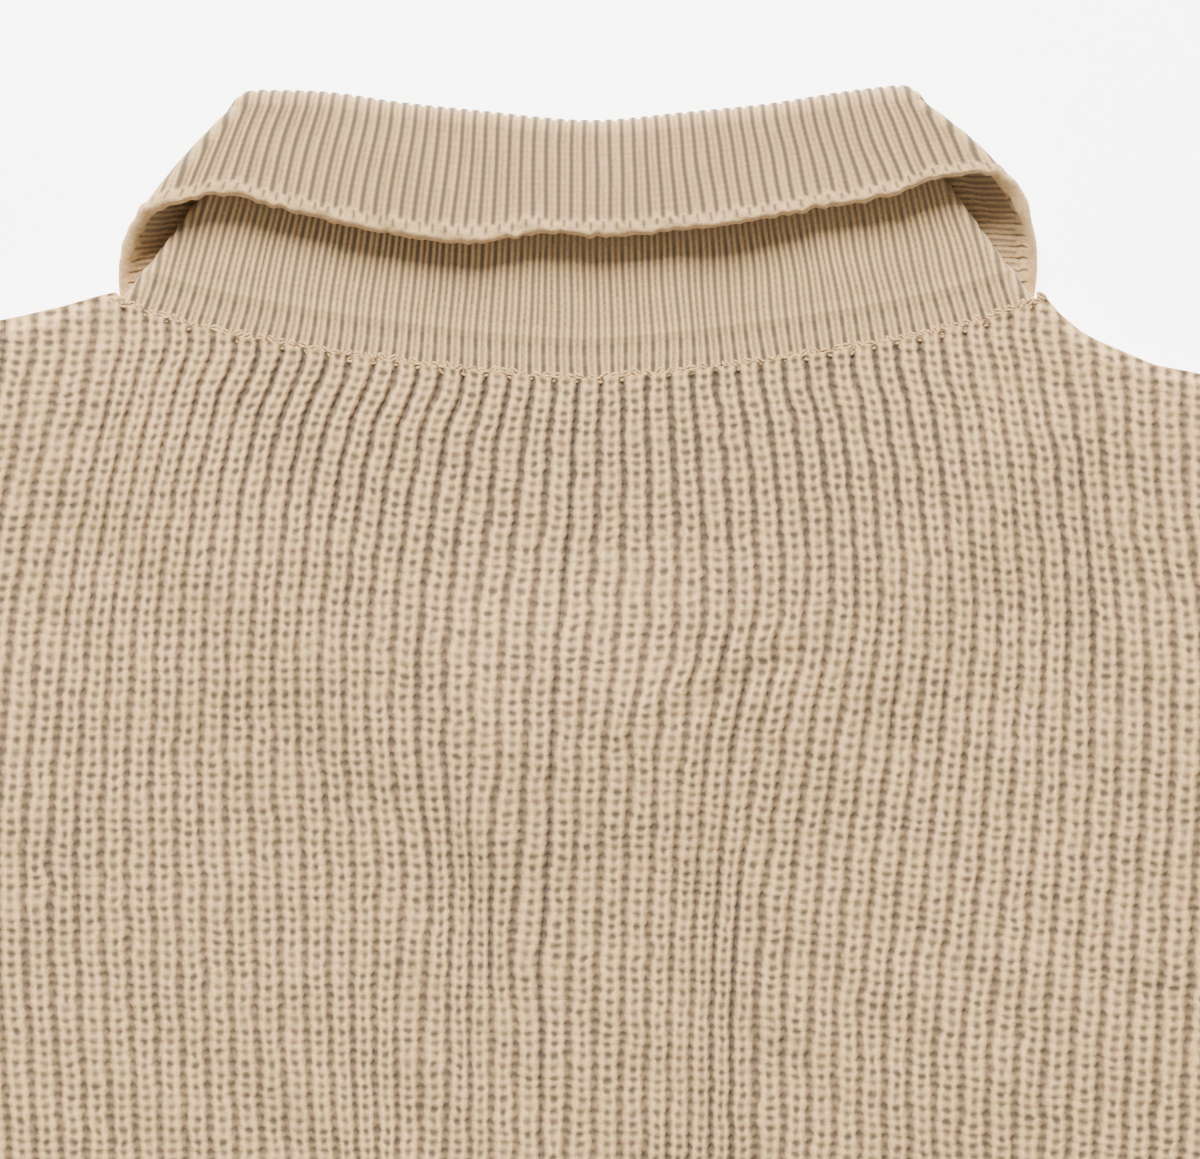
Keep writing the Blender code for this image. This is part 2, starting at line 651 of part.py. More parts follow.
def build_bands(knit, hard, garment, cutters):
    """The lapped bands, and the buttons pressed flush into the under face of the outer one."""
    top = FRONT_NECK_Y - 2 * SEAM_GAP
    layers = {
        "band_right": (0.0, OUTER_BAND_WALL),
        "band_left": (BAND_STEP, BAND_STEP + INNER_BAND_WALL),
    }
    for name, (low_z, high_z) in layers.items():
        low = (-BAND_HALF, -BODY_LENGTH, low_z)
        box = bevelled_box(name, low, (BAND_HALF, top, high_z), BAND_BEVEL)
        place(name, box, knit, garment)
    outer = garment.objects["band_right"]
    for k in range(BUTTON_COUNT):
        y = FIRST_BUTTON_Y - BUTTON_SPACING * k
        number = k + 1
        button = disc(f"button_{number}", y, BUTTON_RADIUS, 0.0, BUTTON_THICKNESS, BUTTON_BEVEL)
        place(f"button_{number}", button, hard, garment)
        seat_radius, seat_top = BUTTON_RADIUS + SEAM_GAP, BUTTON_THICKNESS + SEAM_GAP
        seat = disc(f"seat_{number}", y, seat_radius, -1.0, seat_top)
        cutter = place(f"seat_{number}", seat, knit, cutters)
        cutter.hide_render = True
        cutter.display_type = "WIRE"
        cut = outer.modifiers.new(f"seat_{number}", "BOOLEAN")
        cut.operation = "DIFFERENCE"
        cut.object = cutter


def main():
    """Builds the cardigan."""
    for old in list(bpy.data.objects):
        bpy.data.objects.remove(old)
    garment = bpy.data.collections.new("cardigan")
    cutters = bpy.data.collections.new("cutters")
    for collection in (garment, cutters):
        bpy.context.scene.collection.children.link(collection)
    knit = material("body_knit", (0.60, 0.49, 0.36), 0.95)
    rib = material("collar_rib", (0.62, 0.50, 0.37), 0.95)
    hard = material("button_horn", (0.30, 0.22, 0.15), 0.45)
    place("back", back_mesh(), knit, garment)
    place("collar", collar_mesh(), rib, garment)
    for label, side in (("left", -1), ("right", 1)):
        place(f"front_{label}", front_mesh(f"front_{label}", side), knit, garment)
        place(f"sleeve_{label}", sleeve_mesh(f"sleeve_{label}", side), knit, garment)
    build_bands(rib, hard, garment, cutters)


main()
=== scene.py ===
"""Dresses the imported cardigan: a chunky half-cardigan rib body and a firm ribbed collar, laid back up.

Sizes are in millimetres in the garment's own frame until a mesh is made: X across, Y up the back
from the back neck seam at the centre, Z up from the surface. A mesh is in metres in the row frame,
whose origin is under the middle of the garment.
"""

import logging
import math
from dataclasses import dataclass, field
from enum import Enum

import bmesh
import bpy
import numpy as np
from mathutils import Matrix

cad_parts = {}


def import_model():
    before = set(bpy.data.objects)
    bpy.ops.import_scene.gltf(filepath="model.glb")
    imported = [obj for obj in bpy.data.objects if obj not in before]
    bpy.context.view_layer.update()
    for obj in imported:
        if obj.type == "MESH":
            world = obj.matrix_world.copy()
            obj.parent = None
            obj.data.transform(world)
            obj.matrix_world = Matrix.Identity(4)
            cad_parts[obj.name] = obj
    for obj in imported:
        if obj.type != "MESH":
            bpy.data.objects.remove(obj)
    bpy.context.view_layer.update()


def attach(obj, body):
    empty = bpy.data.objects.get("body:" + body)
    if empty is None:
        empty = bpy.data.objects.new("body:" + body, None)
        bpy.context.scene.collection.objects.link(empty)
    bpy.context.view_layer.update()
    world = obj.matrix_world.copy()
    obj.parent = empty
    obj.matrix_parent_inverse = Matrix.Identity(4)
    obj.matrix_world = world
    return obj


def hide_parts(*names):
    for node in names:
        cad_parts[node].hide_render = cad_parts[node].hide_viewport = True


LOG = logging.getLogger("cardigan")
MM = 0.001
BODY = "root"
IMAGE_WIDTH, IMAGE_HEIGHT = 1200, 1159
PIXEL = 0.2065
SHARP_EDGE = math.radians(75.0)
NECK_SEAM_PIXEL = (578.0, 377.0)

Array = np.ndarray


def smooth(share: Array) -> Array:
    """0 to 1 along an S curve, 3 t squared less 2 t cubed."""
    t = np.clip(share, 0.0, 1.0)
    return t * t * (3.0 - 2.0 * t)


def cubic(t: Array, width: Array, ends: tuple, slopes: tuple, ease: float = 1.0) -> Array:
    """A cubic between two rows: the eased mean of their values, and a bend that has their slopes.

    Args:
        t: The share of the way from the first row to the second.
        width: How far apart the rows are.
        ends: The values at both rows.
        slopes: The slopes at both rows.
        ease: How much of the bend is kept.

    Returns:
        The values at t.
    """
    rise = ends[0] + (ends[1] - ends[0]) * t * t * (3.0 - 2.0 * t)
    bend = slopes[0] * (t**3 - 2 * t**2 + t) + slopes[1] * (t**3 - t**2)
    return rise + bend * width * ease


def through(rows: tuple, x: Array) -> Array:
    """A smooth curve through the rows of an (x, y) table.

    Between two rows it is the cubic that has both rows' heights and the table's own slopes there.

    Args:
        rows: The table, by rising x.
        x: Where the curve is read.

    Returns:
        The curve's heights at x.
    """
    knots = np.array(rows, float)
    xs, ys = knots[:, 0], knots[:, 1]
    slopes = np.gradient(ys, xs)
    x = np.clip(x, xs[0], xs[-1])
    i = np.clip(np.searchsorted(xs, x) - 1, 0, len(xs) - 2)
    width = xs[i + 1] - xs[i]
    t = (x - xs[i]) / width
    return cubic(t, width, (ys[i], ys[i + 1]), (slopes[i], slopes[i + 1]))


@dataclass(frozen=True)
class Unevenness:
    """Soft seeded waves that make hand-laid cloth uneven.

    The value is the mean of plane sine waves whose directions, phases and lengths are drawn once.
    """

    seed: int
    shortest: float
    longest: float
    waves: int = 14

    def at(self, x: Array, y: Array) -> Array:
        """The waves' sum at points, mostly between -1 and 1."""
        draw = np.random.default_rng(self.seed)
        turn = draw.uniform(0.0, 2 * math.pi, self.waves)
        phase = draw.uniform(0.0, 2 * math.pi, self.waves)
        length = np.exp(draw.uniform(math.log(self.shortest), math.log(self.longest), self.waves))
        total = np.zeros(np.broadcast(x, y).shape)
        for angle, start, wave in zip(turn, phase, length):
            across = x * math.cos(angle) + y * math.sin(angle)
            total = total + np.sin(2 * math.pi * across / wave + start)
        return total * math.sqrt(2.0 / self.waves) * 0.6


# ------------------------------------------------------------------ the garment as it lies


@dataclass(frozen=True)
class GarmentLay:
    """The cardigan's sizes and outlines as it lies, which all the pieces share."""

    seam_gap: float = 0.3
    wall: float = 3.0
    collar_wall: float = 2.5
    body_length: float = 640.0
    chest_half: float = 280.0
    hem_half: float = 272.0
    hem_height: float = 70.0
    shoulder_half: float = 222.0
    armhole_straight_y: float = -170.0
    armhole_lean: float = 2.7
    underarm_y: float = -235.0
    body_ribs: int = 102
    rib_fan: float = 16.0
    rib_fan_at: float = 111.0
    rib_fan_length: float = 150.0
    neck_half: float = 95.5
    neck_corner: float = 3.3
    neck_side_rise: float = 13.4
    neck_corner_rise: float = 3.1
    front_neck_y: float = -75.0
    front_scoop: float = 2.2
    shoulder_start: float = 96.2
    stand_height: float = 50.0
    fall_height: float = 23.0
    collar_top: float = 60.3
    band_half: float = 18.0
    outer_band: float = 3.6
    inner_band: float = 3.0
    ridge_half: float = 34.0
    # distance from the centre, left y, right y
    shoulder_line: tuple = (
        (96.2, 17.5, 17.2),
        (99.5, 16.7, 13.2),
        (104.0, 15.4, 9.4),
        (112.0, 13.1, 5.0),
        (120.0, 11.8, 2.4),
        (128.0, 10.0, 1.0),
        (170.0, 0.0, -10.0),
        (222.0, -16.0, -24.0),
    )
    # size: (seam, stand, roll, fall, flare, stand power, flare power)
    ring: dict = field(
        default_factory=lambda: {
            "half_width": (94.2, -28.2, 6.5, 20.0, 2.6, 0.95, 2.0),
            "side_turn": (2.2, 0.0, 1.8, 0.0, 9.0, 1.0, 3.0),
            "front_side_y": (14.9, 29.1, 0.0, -15.0, -26.0, 1.0, 2.0),
        }
    )

    @property
    def garment_y(self) -> float:
        """What a garment y gains in the row frame."""
        return (self.body_length - self.collar_top) / 2

    @property
    def front_lift_height(self) -> float:
        """How far the collar's front layer lifts the cloth over it."""
        return self.collar_wall + self.seam_gap

    @property
    def band_step(self) -> float:
        """How far the outer band lifts the inner one."""
        return self.outer_band + self.seam_gap

    @property
    def straight_end(self) -> float:
        """How far out the armhole's almost upright part ends."""
        return self.shoulder_half + self.armhole_lean

    @property
    def rib_pitch(self) -> float:
        """The width of a rib at the chest."""
        return 2 * self.chest_half / self.body_ribs

    def row_frame(self, points: Array) -> Array:
        """Garment points, in millimetres, as row frame points in metres."""
        return (points + (0.0, self.garment_y, 0.0)) * MM

    def neck_seam(self, x: Array) -> Array:
        """The back neck seam: a power curve of the distance, turning up at the shoulders."""
        share = np.minimum(np.abs(x), self.neck_half - self.neck_corner) / self.neck_half
        return self.neck_side_rise * share**1.45 + self.neck_corner_rise * share**9

    def front_neck_seam(self, x: Array) -> Array:
        """The front neck seam, a power curve down to the centre front."""
        side = self.neck_seam(np.array(self.neck_half))
        share = np.minimum(np.abs(x) / (self.neck_half - self.neck_corner), 1.0)
        return self.front_neck_y + (side - self.front_neck_y) * share**self.front_scoop

    def ring_size(self, name: str, stand: float, turned: float, fall: float) -> float:
        """One of the sizes of the collar's ring, at shares of the stand, the roll and the fall."""
        seam, by_stand, by_roll, by_fall, flare, stand_power, flare_power = self.ring[name]
        gained = by_stand * stand**stand_power + by_roll * turned + by_fall * fall
        return seam + gained + flare * fall**flare_power

    def front_rim(self, x: Array) -> Array:
        """The collar's front rim, under the fronts."""
        centre = self.front_neck_y + self.stand_height - self.fall_height
        side = self.ring_size("front_side_y", 1.0, 1.0, 1.0)
        half_width = self.ring_size("half_width", 1.0, 1.0, 1.0)
        flat_end = half_width - self.ring_size("side_turn", 1.0, 1.0, 1.0)
        share = np.minimum(np.abs(x), half_width) / flat_end
        return centre + (side - centre) * share**self.front_scoop

    def shoulder(self, x: Array) -> Array:
        """The shoulder line on either side."""
        table = np.array(self.shoulder_line)
        left = np.interp(np.abs(x), table[:, 0], table[:, 1])
        right = np.interp(np.abs(x), table[:, 0], table[:, 2])
        return np.where(x < 0, left, right)

    def armhole_y(self, x: Array) -> Array:
        """The armhole's height at x: almost upright below the shoulder, then a quarter ellipse."""
        away = np.abs(x)
        straight_end = self.straight_end
        start = self.shoulder(x)
        down = np.clip((away - self.shoulder_half) / self.armhole_lean, 0.0, 1.0)
        upright = start + (self.armhole_straight_y - start) * down
        share = np.clip((self.chest_half - away) / (self.chest_half - straight_end), 0.0, 1.0)
        scoop = np.sqrt(1.0 - share**2)
        curve = self.armhole_straight_y + (self.underarm_y - self.armhole_straight_y) * scoop
        return np.where(away < straight_end, upright, curve)

    def top_edge(self, x: Array, neck: Array) -> Array:
        """A panel's top edge: its neck seam, then the shoulder, then the armhole."""
        away = np.abs(x)
        turn = smooth((away - self.neck_half + 2.0) / 2.0)
        edge = neck + (self.shoulder(x) - neck) * turn
        return np.where(away > self.shoulder_half, self.armhole_y(x), edge)

    def side_x(self, y: Array) -> Array:
        """The half width of a panel at a height: to the armhole, then to the side seam."""
        down = (self.armhole_straight_y - y) / (self.armhole_straight_y - self.underarm_y)
        scoop = 1.0 - np.sqrt(1.0 - np.clip(down, 0.0, 1.0) ** 2)
        curve = self.straight_end + (self.chest_half - self.straight_end) * scoop
        return np.where(down < 0.0, self.shoulder_half, curve)

    def draw_in(self, y: Array) -> Array:
        """How the body narrows into its hem."""
        depth = (-y - (self.body_length - self.hem_height)) / self.hem_height
        return 1.0 - (1.0 - self.hem_half / self.chest_half) * smooth(depth)

    def shoulder_fade(self, x: Array) -> Array:
        """The neck's layers thin out along the shoulders."""
        return smooth((140.0 - np.abs(x)) / 40.0)

    def front_lift(self, x: Array, y: Array) -> Array:
        """The fronts and the front of the stand ride over the front of the fall."""
        climbed = (y - self.front_rim(x) + 27.0) / 21.0
        return self.front_lift_height * smooth(climbed) * self.shoulder_fade(x)

    def back_lift(self, x: Array, y: Array) -> Array:
        """The back bridges the same layers with a longer slope."""
        climbed = (y - self.front_rim(x) + 70.0) / 43.0
        return self.front_lift_height * smooth(climbed) * self.shoulder_fade(x)

    def band_ridge(self, x: Array, y: Array) -> Array:
        """The broad ridge that the lapped bands raise in the back."""
        across = smooth((self.ridge_half - np.abs(x)) / (self.ridge_half - self.band_half))
        return self.band_step * across * smooth((-30.0 - y) / 40.0)

    def inner_front_raise(self, x: Array, y: Array) -> Array:
        """The left front climbs onto the right band beside the centre."""
        across = smooth((x + self.band_half + 12.0) / 12.0)
        return self.band_step * across * smooth((-52.0 - y) / 23.0)


LAY = GarmentLay()


# ------------------------------------------------------------------ walls of cloth


class Wall:
    """A closed wall of cloth, put together from grids of points and the strips between them."""

    def __init__(self) -> None:
        """Starts an empty wall."""
        self.points: list[Array] = []
        self.faces: list[Array] = []
        self.stitch_at: list[Array] = []
        self.marks: dict[str, list[Array]] = {}
        self.count = 0

    def grid(self, points: Array, stitch_at: Array, **marks: Array) -> Array:
        """Adds a grid of points and its faces.

        Args:
            points: Rows by columns by 3, in garment millimetres.
            stitch_at: Rows by columns by 2: the rib and the course that each point lies on.
            **marks: Values of the surface at each point, by name.

        Returns:
            The points' numbers, as rows by columns.
        """
        rows, columns = points.shape[:2]
        numbers = self.count + np.arange(rows * columns).reshape(rows, columns)
        self.count += rows * columns
        self.points.append(points.reshape(-1, 3))
        self.stitch_at.append(stitch_at.reshape(-1, 2))
        for name, value in marks.items():
            self.marks.setdefault(name, []).append(np.broadcast_to(value, (rows, columns)).ravel())
        near, far = numbers[:-1], numbers[1:]
        corners = (near[:, :-1], far[:, :-1], far[:, 1:], near[:, 1:])
        self.faces.append(np.stack(corners, -1).reshape(-1, 4))
        return numbers

    def strip(self, first: Array, second: Array) -> None:
        """Fills between two rows of points with triangles.

        Points are matched by their share of each row. A step along the first row makes a triangle
        with the last point passed on the second, and the other way round.

        Args:
            first: Numbers of the first row's points.
            second: Numbers of the second row's points, in the same direction.
        """
        a_at = np.linspace(0.0, 1.0, len(first))
        b_at = np.linspace(0.0, 1.0, len(second))
        passed_b = np.searchsorted(b_at[1:], a_at[1:], side="left")
        passed_a = np.searchsorted(a_at[1:], b_at[1:], side="right")
        on_first = np.stack((first[:-1], first[1:], second[passed_b]), -1)
        on_second = np.stack((first[passed_a], second[1:], second[:-1]), -1)
        self.faces.append(on_first)
        self.faces.append(on_second)

    def close(self, outer: Array, inner: Array) -> None:
        """Closes a wall between two grids along their four edges."""
        edges = (
            (outer[0], inner[0]),
            (outer[-1], inner[-1]),
            (outer[:, 0], inner[:, 0]),
            (outer[:, -1], inner[:, -1]),
        )
        for a, b in edges:
            self.strip(a, b)

    def piece(self, name: str, finish: bpy.types.Material) -> bpy.types.Object:
        """Makes the wall an object whose faces point out.

        Args:
            name: The piece's name.
            finish: Its material.

        Returns:
            The new object, linked to the scene.
        """
        points = LAY.row_frame(np.concatenate(self.points))
        sizes = np.concatenate([np.full(len(f), f.shape[1]) for f in self.faces])
        corners = np.concatenate([f.ravel() for f in self.faces])
        starts = np.concatenate(((0,), np.cumsum(sizes)[:-1]))
        mesh = bpy.data.meshes.new(name)
        mesh.vertices.add(len(points))
        mesh.vertices.foreach_set("co", points.ravel())
        mesh.loops.add(len(corners))
        mesh.loops.foreach_set("vertex_index", corners.astype(np.int32))
        mesh.polygons.add(len(sizes))
        mesh.polygons.foreach_set("loop_start", starts.astype(np.int32))
        mesh.update(calc_edges=True)
        stitches = mesh.uv_layers.new(name="stitch")
        stitches.data.foreach_set("uv", np.concatenate(self.stitch_at)[corners].ravel())
        for label, values in self.marks.items():
            mark = mesh.attributes.new(label, "FLOAT", "POINT")
            mark.data.foreach_set("value", np.concatenate(values).astype(np.float32))
        work = bmesh.new()
        work.from_mesh(mesh)
        bmesh.ops.remove_doubles(work, verts=work.verts, dist=1e-7)
        bmesh.ops.dissolve_degenerate(work, edges=work.edges, dist=1e-8)
        write_facing_out(work, mesh)
        return place(name, mesh, finish)


def closed_mesh(name: str, points: Array, faces: list, merge: float = 0.0) -> bpy.types.Mesh:
    """A closed mesh of points and faces that point out.

    Args:
        name: The mesh's name.
        points: The points, in metres in the row frame.
        faces: The faces, as lists of the points' numbers.
        merge: How near two points must be to become one, where any do.

    Returns:
        The mesh.
    """
    mesh = bpy.data.meshes.new(name)
    mesh.from_pydata(points, [], faces)
    work = bmesh.new()
    work.from_mesh(mesh)
    if merge > 0.0:
        bmesh.ops.remove_doubles(work, verts=work.verts, dist=merge)
    write_facing_out(work, mesh)
    return mesh


def write_facing_out(work: bmesh.types.BMesh, mesh: bpy.types.Mesh) -> None:
    """Writes a closed shape to a mesh with its faces pointing out, and frees it."""
    bmesh.ops.recalc_face_normals(work, faces=work.faces)
    if work.calc_volume(signed=True) < 0.0:
        bmesh.ops.reverse_faces(work, faces=work.faces)
    work.to_mesh(mesh)
    work.free()
    mesh.shade_smooth()
    mesh.set_sharp_from_angle(angle=SHARP_EDGE)


def place(name: str, mesh: bpy.types.Mesh, finish: bpy.types.Material) -> bpy.types.Object:
    """Links a mesh to the scene as a piece of that name and finish."""
    piece = bpy.data.objects.new(name, mesh)
    mesh.materials.append(finish)
    bpy.context.scene.collection.objects.link(piece)
    triangles = sum(len(p.vertices) - 2 for p in mesh.polygons)
    LOG.info("%s: %d triangles", name, triangles)
    return piece


class Held(Enum):
    """How a sheet of cloth is held."""

    LAID = "laid"
    FOLDED = "folded"


@dataclass(frozen=True)
class Cut:
    """A cloth piece's flat cut: its width and length, and its area where it isn't a rectangle."""

    width: float
    length: float
    area: float
    held: Held = Held.LAID


def dress(piece: bpy.types.Object, node: str, cut: Cut) -> None:
    """Attaches a cloth piece to the body and hides the solid that it stands for.

    Args:
        piece: The cloth piece.
        node: The solid that it stands for.
        cut: Its flat cut, in metres and square metres. Not used.
    """
    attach(piece, BODY)
    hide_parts(node)


def flat_cut(points: Array, held: Held = Held.LAID) -> Cut:
    """The cut of a laid grid: its box, and the area between its points seen from above.

    Args:
        points: The grid, rows by columns by 3, in millimetres.
        held: How the piece is held.

    Returns:
        The cut in metres.
    """
    x, y = points[..., 0], points[..., 1]
    across = (x[1:, 1:] - x[:-1, :-1]) * (y[1:, :-1] - y[:-1, 1:])
    along = (x[1:, :-1] - x[:-1, 1:]) * (y[1:, 1:] - y[:-1, :-1])
    area = float(np.abs(across - along).sum() / 2)
    width, length = float(np.ptp(x)), float(np.ptp(y))
    return Cut(width * MM, length * MM, min(area, width * length) * MM * MM, held)


# ------------------------------------------------------------------ finishes


class Signal:
    """A number in a material's nodes, which arithmetic extends with Math nodes."""

    def __init__(self, tree: bpy.types.NodeTree, source: bpy.types.NodeSocket | float) -> None:
        """Holds a socket or a plain number."""
        self.tree = tree
        self.source = source

    def into(self, socket: bpy.types.NodeSocket) -> None:
        """Feeds an input socket."""
        if isinstance(self.source, (int, float)):
            socket.default_value = self.source
        else:
            self.tree.links.new(self.source, socket)

    def math(self, operation: str, *others: "Signal | float") -> "Signal":
        """The result of a Math node on this number and others."""
        node = self.tree.nodes.new("ShaderNodeMath")
        node.operation = operation
        self.into(node.inputs[0])
        for other, socket in zip(others, node.inputs[1:]):
            wrapped = other if isinstance(other, Signal) else Signal(self.tree, float(other))
            wrapped.into(socket)
        return Signal(self.tree, node.outputs[0])

    def __add__(self, other: "Signal | float") -> "Signal":
        return self.math("ADD", other)

    def __sub__(self, other: "Signal | float") -> "Signal":
        return self.math("SUBTRACT", other)

    def __mul__(self, other: "Signal | float") -> "Signal":
        return self.math("MULTIPLY", other)

    def __truediv__(self, other: "Signal | float") -> "Signal":
        return self.math("DIVIDE", other)

    def ramp(self, low: float, high: float) -> "Signal":
        """0 to 1 along an S curve as this number goes from low to high."""
        node = self.tree.nodes.new("ShaderNodeMapRange")
        node.interpolation_type = "SMOOTHSTEP"
        node.inputs["From Min"].default_value = low
        node.inputs["From Max"].default_value = high
        self.into(node.inputs["Value"])
        return Signal(self.tree, node.outputs["Result"])

    def table(self, rows: tuple) -> "Signal":
        """This number, 0 to 1, read through the rows of a (place, value) table."""
        node = self.tree.nodes.new("ShaderNodeValToRGB")
        node.color_ramp.interpolation = "EASE"
        steps = node.color_ramp.elements
        while len(steps) < len(rows):
            steps.new(0.5)
        for step, (at, value) in zip(steps, rows):
            step.position = at
        for step, (at, value) in zip(steps, rows):
            step.color = (value, value, value, 1.0)
        self.into(node.inputs["Fac"])
        return Signal(self.tree, node.outputs["Color"])

    def bell(self, width: "Signal | float") -> "Signal":
        """A bell curve of this number, 1 at 0: e to the power of less its square over width's."""
        share = self / width
        return (share * share * -1.0).math("EXPONENT")


class FinishTree:
    """A material and the inputs that a knit reads."""

    def __init__(self, name: str) -> None:
        """Makes a material with a Principled shader."""
        self.material = bpy.data.materials.new(name)
        self.material.use_nodes = True
        self.tree = self.material.node_tree
        self.shader = self.tree.nodes["Principled BSDF"]

    def set(self, **values: float) -> None:
        """Sets the shader's own sockets, named in lower case with _ for a space."""
        for name, value in values.items():
            socket = name.replace("_", " ").title().replace("Ior", "IOR")
            self.shader.inputs[socket].default_value = value

    def stitch_place(self) -> tuple[Signal, Signal]:
        """The rib and the course of a point, from the piece's stitch map."""
        node = self.tree.nodes.new("ShaderNodeUVMap")
        node.uv_map = "stitch"
        split = self.tree.nodes.new("ShaderNodeSeparateXYZ")
        self.tree.links.new(node.outputs["UV"], split.inputs[0])
        return Signal(self.tree, split.outputs["X"]), Signal(self.tree, split.outputs["Y"])

    def mark(self, name: str) -> Signal:
        """A value that the mesh holds at its points."""
        node = self.tree.nodes.new("ShaderNodeAttribute")
        node.attribute_name = name
        return Signal(self.tree, node.outputs["Fac"])

    def noise(self, size: float, detail: float = 2.0, stretch: tuple = (1, 1, 1)) -> Signal:
        """Soft noise of that size in millimetres, on the object's own coordinates."""
        place_node = self.tree.nodes.new("ShaderNodeTexCoord")
        scale = self.tree.nodes.new("ShaderNodeMapping")
        scale.inputs["Scale"].default_value = [1.0 / (size * MM * s) for s in stretch]
        node = self.tree.nodes.new("ShaderNodeTexNoise")
        node.inputs["Scale"].default_value = 1.0
        node.inputs["Detail"].default_value = detail
        self.tree.links.new(place_node.outputs["Object"], scale.inputs["Vector"])
        self.tree.links.new(scale.outputs["Vector"], node.inputs["Vector"])
        return Signal(self.tree, node.outputs["Fac"])

    def each_stitch(self, rib: Signal, course: Signal) -> Signal:
        """A number from 0 to 1 that is the stitch's own."""
        joined = self.tree.nodes.new("ShaderNodeCombineXYZ")
        rib.math("FLOOR").into(joined.inputs["X"])
        course.math("FLOOR").into(joined.inputs["Y"])
        node = self.tree.nodes.new("ShaderNodeTexWhiteNoise")
        node.noise_dimensions = "2D"
        self.tree.links.new(joined.outputs[0], node.inputs["Vector"])
        return Signal(self.tree, node.outputs["Value"])

    def blend(self, share: Signal, first: tuple | object, second: tuple | object) -> object:
        """Mixes two colours, each a tuple or a socket, and returns the result's socket."""
        node = self.tree.nodes.new("ShaderNodeMix")
        node.data_type = "RGBA"
        node.clamp_factor = True
        share.into(node.inputs[0])
        for colour, socket in ((first, node.inputs[6]), (second, node.inputs[7])):
            if isinstance(colour, tuple):
                socket.default_value = (*colour, 1.0)
            else:
                self.tree.links.new(colour, socket)
        return node.outputs[2]

    def finish(self, colour: object, height: Signal) -> bpy.types.Material:
        """Feeds the shader its colour and a bump whose height is in millimetres."""
        self.tree.links.new(colour, self.shader.inputs["Base Color"])
        bump = self.tree.nodes.new("ShaderNodeBump")
        bump.inputs["Strength"].default_value = 1.0
        bump.inputs["Distance"].default_value = MM
        height.into(bump.inputs["Height"])
        self.tree.links.new(bump.outputs["Normal"], self.shader.inputs["Normal"])
        return self.material


@dataclass(frozen=True)
class YarnColours:
    """The yarn's linear colours: its two casts where light reaches it, and a dark one that is painted
    shade between loops and the dark of the seam yarn's twist.
    """

    olive: tuple = (0.745, 0.490, 0.207)
    rosy: tuple = (0.795, 0.480, 0.232)
    # the dark colour: painted shade between loops, in holes and furrows, and the seam yarn's random dark
    dark_and_painted_shade: tuple = (0.116, 0.080, 0.048)
    contrast: float = 1.7
    roughness: float = 0.92
    sheen: float = 0.12
    sheen_roughness: float = 0.5

    def cast(self, finish: FinishTree) -> object:
        """The yarn's mottled colour: the two casts mixed by soft noise."""
        patch = finish.noise(2.6, 1.0)
        return finish.blend(patch.ramp(0.38, 0.66), self.olive, self.rosy)

    def lit(self, finish: FinishTree, tone_and_painted_light: Signal) -> object:
        """The yarn's colour at a brightness that holds painted light and shade: the dark colour at 0,
        its cast at 1.
        """
        share = tone_and_painted_light.math("MAXIMUM", 0.0).math("POWER", self.contrast)
        return finish.blend(share, self.dark_and_painted_shade, self.cast(finish))

    def settle(self, finish: FinishTree) -> None:
        """Sets the shader's numbers."""
        finish.set(roughness=self.roughness, sheen_weight=self.sheen)
        finish.set(sheen_roughness=self.sheen_roughness, specular_ior_level=0.2)


YARN = YarnColours()


